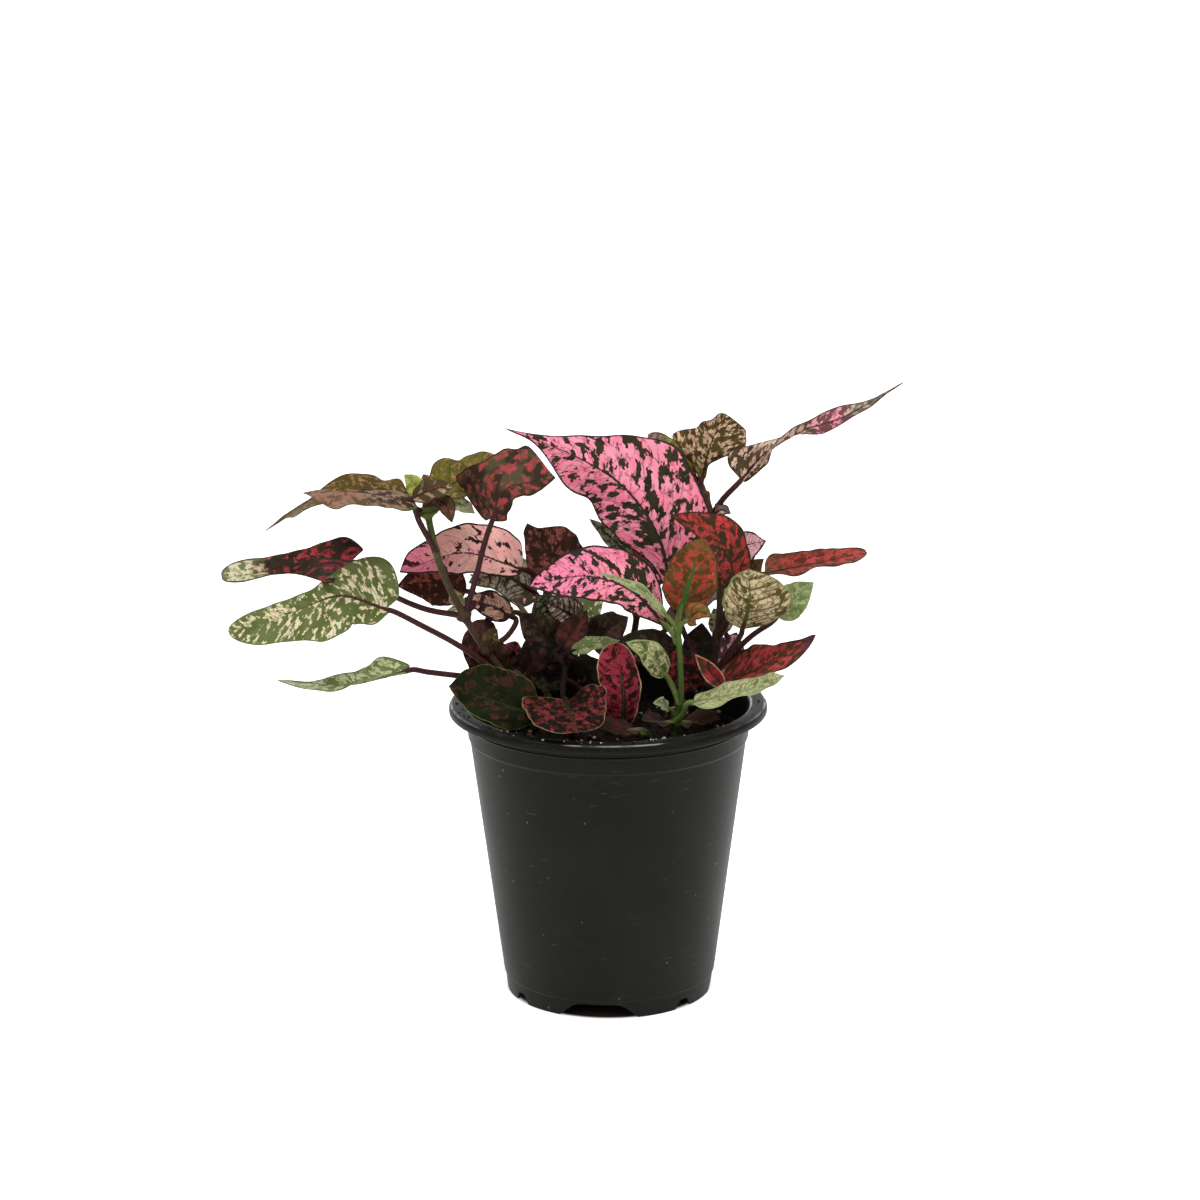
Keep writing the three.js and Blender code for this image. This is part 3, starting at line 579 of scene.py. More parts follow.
def tube(line, girth, sides, squareness=0.0):
    """Points and faces of a closed round stalk. Girth gives its radius at a distance along it."""
    rings = max(3, round(line.length / STEM_SPACING))
    shares = np.linspace(0, 1, rings + 1)
    centres, along = line.read(shares), line.read(shares, lean=True)
    radii = girth(shares * line.length)
    turns = np.linspace(0, 2 * math.pi, sides, endpoint=False)
    swell = 1 + squareness * np.cos(4 * turns)
    first = unit(np.cross(along[0], (0.3, 0.9, 0.1)))
    points = []
    for centre, lean, radius in zip(centres, along, radii):
        first = unit(first - lean * np.dot(first, lean))
        second = np.cross(lean, first)
        ring = np.outer(np.cos(turns) * swell, first) + np.outer(np.sin(turns) * swell, second)
        points.append(centre + ring * radius)
    faces = []
    for i in range(rings):
        for j in range(sides):
            a, b = i * sides + j, i * sides + (j + 1) % sides
            faces.append((a, b, b + sides, a + sides))
    faces.append(tuple(reversed(range(sides))))
    faces.append(tuple(range(rings * sides, (rings + 1) * sides)))
    return np.concatenate(points), faces


def hairs(points, faces, count, chance):
    """Three-sided hairs that stand out from the skin at random places of the faces."""
    quads = np.array([face for face in faces if len(face) == 4])
    chosen = quads[chance.integers(0, len(quads), count)]
    a, b, _, d = points[chosen].transpose(1, 0, 2)
    out = unit(np.cross(b - a, d - a))
    roots = a + (b - a) * chance.random((count, 1)) + (d - a) * chance.random((count, 1)) - 0.05 * out
    lean = unit(out + chance.normal(0, HAIR_SPREAD, (count, 3)))
    tips = roots + lean * HAIR_LENGTH * chance.uniform(0.5, 1, (count, 1))
    side = unit(np.cross(out, (0.2, 0.5, 0.8)))
    other = np.cross(out, side)
    corners = []
    for turn in (0, 2 * math.pi / 3, 4 * math.pi / 3):
        corners.append(roots + HAIR_RADIUS * (side * math.cos(turn) + other * math.sin(turn)))
    corners.append(tips)
    strand_points = np.stack(corners, 1).reshape(-1, 3)
    strand_faces = []
    for root in range(0, 4 * count, 4):
        tip = root + 3
        strand_faces += [(root, root + 1, tip), (root + 1, root + 2, tip), (root + 2, root, tip)]
    return strand_points, strand_faces


def tag(made, name, values):
    """Keeps numbers on the piece's points for its finish. Values has one or three numbers a point."""
    values = np.asarray(values, np.float32)
    kind = ("FLOAT", "value") if values.ndim == 1 else ("FLOAT_VECTOR", "vector")
    made.data.attributes.new(name, kind[0], "POINT").data.foreach_set(kind[1], values.ravel())


def stalk_finish(name, low, high, leaf_stalk, turn=128):
    """Skin of a stem: its colour changes at the height turn, and the leaves' stalks have their own."""
    finish = Finish(name)
    place = finish.place()
    z = finish.parts(place)[2]
    own = finish.node("Attribute", {"attribute_name": "leaf_stalk"}, None, "Fac")
    mottle = finish.noise(place, 0.35, 3.0, 0.6)
    streaks = finish.noise(finish.stretched(place, 3.0, 3.0, 0.35), 1.0, 3.0, 0.6)
    colour = finish.mix(((z - turn) * 0.03 + mottle * 0.8).ramp(0.0, 0.8), paint(*low), paint(*high))
    colour = finish.mix(own, colour, paint(*leaf_stalk))
    dark = tuple(int(level * 0.62) for level in leaf_stalk)
    colour = finish.mix(streaks.ramp(0.48, 0.72) * 0.55, colour, paint(*dark))
    colour = finish.mix((1 - streaks).ramp(0.56, 0.7) * 0.15, colour, paint(150, 122, 96))
    return finish.close(colour, 0.46 + mottle * 0.2, streaks, 0.12, **{"Specular IOR Level": 0.12})


def hair_finish():
    finish = Finish("stem hairs")
    shade = finish.noise(finish.place(), 0.4)
    return finish.close(finish.mix(shade, paint(132, 108, 92), paint(92, 64, 58)), 0.6 + shade * 0.2)


hair_skin = hair_finish()


def leafy_stem(name, skin, slot, radius, path, leaves):
    """Makes one stem with its leaves' stalks, and then each of its leaves."""
    chance = np.random.default_rng(len(name) * 31 + round(10 * radius))
    x, y = path[0]
    foot = [(x, y, STEM_BOTTOM), (x, y, (STEM_BOTTOM + STEM_STRAIGHT_TO) / 2), (x, y, STEM_STRAIGHT_TO)]
    trunk = Line(foot + path[1:])
    fine = trunk.read(np.linspace(0, 1, JOINT_STEPS + 1))
    joints = []
    for leaf in leaves:
        nearest = np.argmin(np.linalg.norm(fine - np.array(leaf["start"][0]), axis=1))
        joints.append(nearest / JOINT_STEPS * trunk.length)

    def girth(distance):
        thick = radius * (1 + (STEM_TAPER - 1) * distance / trunk.length)
        for joint in joints:
            thick = thick * (1 + JOINT_SWELLING * np.exp(-((distance - joint) / JOINT_REACH) ** 2))
        return thick

    tubes = [tube(trunk, girth, STEM_SIDES, STEM_SQUARENESS)]
    blades = []
    for leaf in leaves:
        shape = Blade(**leaf["shape"])
        blades.append(shape)
        approach = shape.line.read([0.0])[0] - APPROACH * shape.line.read([0.0], lean=True)[0]
        under = []
        for distance, depth in UNDER_BLADE:
            share = [distance / shape.line.length]
            under.append(shape.line.read(share)[0] - depth * shape.upper(share)[0])
        stalk = Line([*leaf["start"], approach, *under])
        thin = SMALL_STALK if shape.width < SMALL_LEAF else 1.0

        def stalk_girth(distance, stalk=stalk, thin=thin):
            straight = STALK_FOOT_RADIUS + (STALK_RADIUS - STALK_FOOT_RADIUS) * distance / stalk.length
            ending = np.clip((stalk.length - distance) / STALK_ENDING, 0, 1)
            return thin * (straight * (0.3 + 0.7 * ending) + STALK_FLARE * np.exp(-distance / FLARE_REACH))

        tubes.append(tube(stalk, stalk_girth, STALK_SIDES))
    skin_points, skin_faces = merged(tubes)
    strands = hairs(skin_points, skin_faces, int(HAIRS_PER_MM * trunk.length), chance)
    points, faces = merged([(skin_points, skin_faces), strands])
    stem = piece(name, points, faces, skin, slot)
    stem.data.materials.append(hair_skin)
    is_hair = [int(i >= len(skin_faces)) for i in range(len(faces))]
    stem.data.polygons.foreach_set("material_index", is_hair)
    is_stalk = np.zeros(len(points))
    is_stalk[len(tubes[0][0]):len(skin_points)] = 1
    tag(stem, "leaf_stalk", is_stalk)
    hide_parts(name)
    for leaf, shape in zip(leaves, blades):
        grow(leaf, shape)


# Blades: every leaf is one thin arched sheet with a midrib that stands out below, side veins that curve
# towards the tip, and a skin that is pillowed between them.
BLADE_THICKNESS = 0.36
BLADE_SPACING = 0.55
BASE_HALF_WIDTH = 0.9
TIP_HALF_WIDTH = 0.08
WAVE_HEIGHT = 0.8
WAVES = 2.5
CREASE = 0.7
RAGGED = 0.03
VEIN_RAKE = 0.42
VEIN_GROOVE = 0.09
VEIN_RIDGE = 0.12
RIB_GROOVE = 0.16
RIB_RIDGE = 0.55
FEWEST_ROWS, MOST_ROWS = 18, 120
FEWEST_COLUMNS, MOST_COLUMNS = 4, 34
SLOPE_STEP = 0.006


class Blade:
    """The form of one blade.

    Face is the way that its upper side looks. Fold is how far each half is raised, in degrees, and lobe
    how far its base reaches back. A bump swells the margin: (share of the length, half, size, spread).
    """

    def __init__(self, rib, width, face, fold=(12, 12), tip_fold=None, halves=(1, 1), widest=0.38,
                 point=1.05, lobe=(0, 0), curl=0.0, twist=0.0, bumps=(), veins=6, quilt=0.22, seed=0.0):
        self.line = Line(rib)
        self.width, self.face, self.twist = width, unit(np.array(face, float)), twist
        self.fold, self.tip_fold, self.halves = fold, tip_fold or fold, halves
        self.widest, self.point, self.lobe, self.curl = widest, point, lobe, curl
        self.bumps, self.veins, self.quilt, self.seed = bumps, veins, quilt, seed

    def half_width(self, u):
        roundness = self.point * self.widest / (1 - self.widest)
        swell = u ** roundness * (1 - u) ** self.point
        most = self.widest ** roundness * (1 - self.widest) ** self.point
        rest = BASE_HALF_WIDTH + (TIP_HALF_WIDTH - BASE_HALF_WIDTH) * u
        return rest + (self.width / 2 - rest) * swell / most

    def upper(self, u):
        """Where the upper side looks, at the shares u of the length."""
        u = np.asarray(u, float)
        along = self.line.read(u, lean=True)
        up = unit(self.face - along * (along @ self.face)[:, None])
        turn = (math.radians(self.twist) * u)[:, None]
        return up * np.cos(turn) + np.cross(along, up) * np.sin(turn)

    def sheet(self, u, v):
        """Points of the middle surface and their distance from the midrib. V runs from -1 to 1 across."""
        along, up = self.line.read(u, lean=True), self.upper(u)
        side = np.cross(along, up)
        left = v < 0
        half = np.where(left, self.halves[0], self.halves[1])
        margin = np.sin(17 * u + self.seed + 2 * left) + 0.6 * np.sin(43 * u + 2.3 * self.seed + left)
        margin = 1 + RAGGED * np.abs(v) ** 3 * margin * np.sin(math.pi * u)
        for place, which, size, spread in self.bumps:
            margin += np.where(left == (which < 0), size * np.exp(-((u - place) / spread) ** 2), 0)
        reach = np.abs(v) * half * self.half_width(u) * margin
        fold = np.where(left, self.fold[0], self.fold[1])
        tip_fold = np.where(left, self.tip_fold[0], self.tip_fold[1])
        slope = np.radians(fold + (tip_fold - fold) * u * u)
        rise = np.sqrt(reach ** 2 + CREASE ** 2) - CREASE
        swing = np.sin(2 * math.pi * WAVES * u + 2 * left)
        ripple = WAVE_HEIGHT * v * v * np.sin(math.pi * u) * swing
        heel = u ** 0.35
        points = self.line.read(u) + side * (np.sign(v) * reach * np.cos(slope))[:, None]
        points += up * (rise * np.sin(slope) + self.curl * reach * np.abs(v) + ripple)[:, None]
        lobe = np.where(left, self.lobe[0], self.lobe[1])
        points -= along * (lobe * v * v * heel * (1 - heel))[:, None]
        return points, np.sign(v) * reach

    def skin(self):
        """Points and faces of the closed blade, with what its finish reads at each point."""
        length = self.line.length
        rows = int(np.clip(round(length / BLADE_SPACING), FEWEST_ROWS, MOST_ROWS))
        half = round(0.5 * self.width * max(self.halves) / BLADE_SPACING)
        columns = 2 * int(np.clip(half, FEWEST_COLUMNS, MOST_COLUMNS))
        share = np.linspace(0, 1, rows + 1)
        across = np.linspace(-1, 1, columns + 1)
        share = (share + (1 - np.cos(math.pi * share)) / 2) / 2
        across = np.sign(across) * np.abs(across) ** 1.15
        u, v = (grid.ravel() for grid in np.meshgrid(share, across, indexing="ij"))
        middle, off = self.sheet(u, v)
        step = SLOPE_STEP
        ahead = self.sheet(np.minimum(1, u + step), v)[0] - self.sheet(np.maximum(0, u - step), v)[0]
        aside = self.sheet(u, np.minimum(1, v + step))[0] - self.sheet(u, np.maximum(-1, v - step))[0]
        normal = unit(np.cross(aside, ahead))
        rake = VEIN_RAKE * np.abs(v) ** 1.25
        vein = (u - rake) / (1 - rake)
        beat = (vein * self.veins) % 1
        to_vein = np.minimum(beat, 1 - beat) * length / self.veins
        inside = 1 - np.abs(v) ** 4
        pillow = np.sin(math.pi * beat) ** 2 * np.sin(math.pi * np.abs(v)) ** 0.7
        pillow *= np.sin(math.pi * u) ** 0.5
        furrow = np.exp(-(to_vein / 0.5) ** 2) * inside
        rib = np.exp(-(off / (0.85 - 0.5 * u)) ** 2) * (1 - u) ** 0.6
        thick = BLADE_THICKNESS * (1 - 0.5 * np.abs(v) ** 5)
        top = thick / 2 + self.quilt * pillow - VEIN_GROOVE * furrow - RIB_GROOVE * rib
        low = -thick / 2 + self.quilt * pillow - VEIN_RIDGE * furrow - RIB_RIDGE * rib
        points = np.concatenate([middle + normal * top[:, None], middle + normal * low[:, None]])
        row, under = columns + 1, len(u)
        faces = []
        for i in range(rows):
            for j in range(columns):
                a = i * row + j
                b, c, d = a + 1, a + row + 1, a + row
                faces += [(a, b, c, d), (under + d, under + c, under + b, under + a)]
        edge = list(range(columns)) + [i * row + columns for i in range(rows)]
        edge += [rows * row + j for j in range(columns, 0, -1)] + [i * row for i in range(rows, 0, -1)]
        for a, b in zip(edge, edge[1:] + edge[:1]):
            faces.append((a, under + a, under + b, b))
        place = np.stack([u * length, off, np.full_like(u, self.seed * 7.3)], 1)
        shares = np.stack([u, np.abs(v), vein * length], 1)
        return points, faces, np.tile(place, (2, 1)), np.tile(shares, (2, 1)), np.repeat([0.0, 1.0], under)


def grow(leaf, shape):
    """Makes a leaf's blade as a piece with a finish of its own. Young leaves are fused to their stems in
    the model, so they have no part of their own to hide.
    """
    points, faces, place, shares, under = shape.skin()
    finish = leaf_finish(leaf["name"], shape, **leaf["skin"])
    blade = piece(leaf["name"], points, faces, finish, leaf["slot"])
    tag(blade, "leaf_place", place)
    tag(blade, "leaf_share", shares)
    tag(blade, "leaf_under", under)
    if leaf["name"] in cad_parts:
        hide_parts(leaf["name"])


def leaf(name, slot, skin, width, face, start, rib, **form):
    """A leaf's row. Start leads its stalk away from the stem, and rib is the line of its midrib."""
    shape = dict(rib=rib, width=width, face=face, **form)
    return {"name": name, "slot": slot, "skin": skin, "start": start, "shape": shape}


# Leaf skins: the green of each leaf is broken by flecks without green, in pink, red or cream. The flecks
# fill whole meshes of the finest veins, so their edges are ragged, and they leave a darker net, rib and
# margin.
MESH_SIZE = 0.4
VEIN_LEAN = 42
SCORE_MEAN = 0.65
SCORE_SPREAD = 0.115
LEAF_ROUGHNESS = 0.42


def leaf_finish(name, shape, spots, ground, cover=0.55, grain=2.0, streak=1.5, lines=0.6, net=0.0,
                net_size=2.6, veins=0.0, vein=(60, 60, 40), vein_width=0.35, rib=None, rib_width=0.6,
                rib_end=1.2, margin=None, margin_width=0.5, zones=(), under=(120, 105, 90),
                under_share=0.45):
    """One leaf's finish. Spots and ground are pairs of colours, and cover is the share that is spotted.

    Grain is the size of a fleck in millimetres and streak its length over its width. Lines is the share of
    the fine green lines that cross the flecks. Net and veins say how dark the fine net and the side veins
    are. A zone is (start, end, spots, ground): between these shares of the length the colours turn into
    its own.
    """
    finish = Finish(name)
    place = finish.node("Attribute", {"attribute_name": "leaf_place"}, None, "Vector")
    share = finish.node("Attribute", {"attribute_name": "leaf_share"}, None, "Vector")
    below = finish.node("Attribute", {"attribute_name": "leaf_under"}, None, "Fac")
    along, off, seed = finish.parts(place)
    u, v, vein_way = finish.parts(share)
    spacing = shape.line.length / shape.veins

    lean = math.radians(VEIN_LEAN)
    across_veins = along * math.sin(lean) - abs(off) * math.cos(lean)
    along_veins = along * math.cos(lean) + abs(off) * math.sin(lean)
    way = finish.vector(across_veins, along_veins * (1 / streak), seed + off.ramp(-0.05, 0.05) * 9.0)
    mesh = finish.mix(0.55, way, finish.cells(way, 1 / MESH_SIZE, out="Position"))
    chance = finish.parts(finish.cells(way, 1 / MESH_SIZE, out="Color"))[0]
    score = finish.noise(mesh, 1 / grain, 2.0, 0.5) + finish.noise(mesh, 0.3 / grain, 1.0) * 0.25
    level = SCORE_MEAN + SCORE_SPREAD * statistics.NormalDist().inv_cdf(cover)
    blots = (score + chance * 0.05 - level).ramp(-0.012, 0.012)
    thread = 1 - abs(finish.noise(mesh, 0.9 / grain, 2.0, 0.4) - 0.5).ramp(0.022, 0.045)
    green = blots.most(thread * lines)

    tone = finish.noise(way, 0.8 / grain, 2.0).ramp(0.38, 0.62)
    shade = finish.noise(way, 0.5 / grain, 2.0).ramp(0.4, 0.6)
    spot_colour = finish.mix(tone, paint(*spots[0]), paint(*spots[1]))
    spot_colour = finish.mix(shade * tone * 0.14, spot_colour, paint(*ground[1]))
    ground_colour = finish.mix(shade, paint(*ground[0]), paint(*ground[1]))
    for start, end, zone_spots, zone_ground in zones:
        inside = (u + (finish.noise(place, 0.35) - 0.5) * 0.2).ramp(start, end)
        spot_colour = finish.mix(inside, spot_colour, paint(*zone_spots))
        ground_colour = finish.mix(inside, ground_colour, paint(*zone_ground))
    colour = finish.mix(green, spot_colour, ground_colour)

    jitter = finish.noise(place, 1.1, 2.0) - 0.5
    beat = (vein_way / spacing).fract()
    to_vein = (0.5 - abs(beat - 0.5)) * spacing
    vein_line = 1 - (to_vein + jitter * 0.7 + v * 0.12).ramp(0.3 * vein_width, vein_width)
    if veins:
        colour = finish.mix(vein_line * veins, colour, paint(*vein))
    if net:
        net_way = finish.vector(vein_way * (1 / net_size), off * (1 / (net_size * 1.3)), seed)
        warp = finish.noise(net_way, 1.2, 3.0, 0.6, "Color")
        net_way = finish.node("VectorMath", {"operation": "MULTIPLY_ADD"},
                              {0: warp, 1: (0.8, 0.8, 0.0), 2: net_way})
        net_line = 1 - (finish.cells(net_way, 1.0, "DISTANCE_TO_EDGE") + jitter * 0.12).ramp(0.02, 0.085)
        colour = finish.mix(net_line * net, colour, paint(*vein))
    if rib:
        rib_line = 1 - (abs(off) + jitter * 0.9 + u * rib_width * 0.8).ramp(0.6 * rib_width, rib_width)
        colour = finish.mix(rib_line * (1 - u.ramp(rib_end - 0.25, rib_end)), colour, paint(*rib))
    if margin:
        to_margin = abs(off) / v.most(0.05) - abs(off) + jitter * 0.6
        colour = finish.mix(1 - to_margin.ramp(0.5 * margin_width, margin_width), colour, paint(*margin))
    faint = finish.cells(way, 1 / MESH_SIZE, "DISTANCE_TO_EDGE")
    colour = finish.mix((1 - faint.ramp(0.0, 0.12)) * 0.1, colour, paint(40, 24, 26))
    colour = finish.mix(below * under_share, colour, paint(*under))

    height = faint.ramp(0.0, 0.2) * 0.4 + jitter * 0.6 - vein_line * 0.4
    roughness = LEAF_ROUGHNESS + tone * 0.08 + jitter * 0.14 + below * 0.12
    return finish.close(colour, roughness, height, 0.14, **{"Specular IOR Level": 0.05})


PINK = dict(spots=((254, 134, 160), (255, 158, 180)), ground=((38, 42, 26), (56, 50, 34)), cover=0.58,
            grain=2.2, streak=2.0, lines=0.42, veins=0.55, vein=(44, 46, 34), vein_width=0.3,
            rib=(46, 50, 38), rib_width=0.9, margin=(40, 38, 30), margin_width=0.9, under=(176, 116, 120))
PALE = dict(spots=((236, 164, 164), (240, 184, 170)), ground=((44, 28, 26), (62, 40, 36)), cover=0.88,
            grain=2.4, streak=1.8, lines=0.15, veins=0.5, vein=(86, 52, 54), rib=(72, 44, 44),
            margin=(46, 32, 28), margin_width=0.9)
RED = dict(spots=((172, 64, 58), (148, 54, 48)), ground=((62, 42, 26), (78, 58, 34)), cover=0.46,
           grain=2.2, rib=(70, 42, 34), rib_width=0.8, margin=(50, 40, 26), margin_width=0.8)
CRIMSON = dict(spots=((146, 42, 56), (162, 56, 72)), ground=((50, 22, 20), (40, 28, 20)), cover=0.66,
               streak=1.6, rib=(44, 44, 34), rib_width=1.6, rib_end=0.8, margin=(190, 160, 126),
               margin_width=0.4)
CREAM = dict(spots=((224, 210, 166), (230, 216, 184)), ground=((92, 102, 54), (104, 114, 66)), cover=0.33,
             grain=1.4, streak=2.5, rib=(84, 104, 60), margin=(96, 116, 66), margin_width=0.6,
             under=(170, 180, 146))
NETTED = dict(spots=((202, 182, 142), (192, 174, 130)), ground=((74, 66, 34), (86, 78, 40)), cover=0.82,
              streak=1.6, net=0.9, net_size=3.0, veins=0.9, vein=(68, 60, 30), vein_width=0.7,
              rib=(70, 74, 36), rib_width=1.2, margin=(120, 128, 78), margin_width=1.0,
              under=(170, 170, 130))
SAGE = dict(spots=((190, 194, 148), (200, 194, 152)), ground=((116, 132, 80), (130, 144, 92)), cover=0.5,
            grain=1.6, streak=1.8, net=0.5, net_size=2.0, vein=(112, 128, 80), rib=(120, 142, 86),
            rib_width=0.7, margin=(150, 162, 112), margin_width=0.7, under=(182, 190, 150))
OLIVE = dict(spots=((158, 124, 84), (142, 108, 70)), ground=((78, 62, 24), (92, 76, 32)), cover=0.3,
             grain=1.3, streak=1.8, net=0.4, net_size=2.2, veins=0.5, vein=(66, 56, 30), rib=(62, 36, 30),
             margin=(78, 60, 36), under=(146, 134, 90))
MAROON = dict(spots=((130, 66, 66), (108, 52, 50)), ground=((58, 38, 28), (44, 30, 22)), cover=0.36,
              grain=2.1, rib=(56, 36, 32), rib_width=0.7, margin=(54, 36, 32))
# DARK's near-black greens are mostly painted shade on dark green leaves, for the shadow low in the plant.
DARK = dict(spots=((44, 28, 16), (66, 30, 22)), ground=((12, 18, 2), (22, 26, 6)), cover=0.36, grain=2.2,
            rib=(28, 44, 16), rib_width=0.9, margin=(34, 50, 20), margin_width=0.6, under=(60, 52, 36))
# SHADE's dark browns are painted shade, for leaves deep inside the plant where its shadow falls.
SHADE = dict(spots=((70, 54, 42), (84, 66, 52)), ground=((38, 36, 26), (48, 42, 32)), cover=0.4,
             grain=1.8, net=0.4, vein=(32, 28, 22), rib=(44, 34, 28), under=(66, 54, 44))
BUD = dict(spots=((186, 190, 104), (196, 196, 116)), ground=((158, 164, 74), (172, 176, 88)), cover=0.4,
           grain=1.4, streak=1.6, veins=0.4, vein=(122, 134, 54), rib=(130, 142, 60), rib_width=0.4)


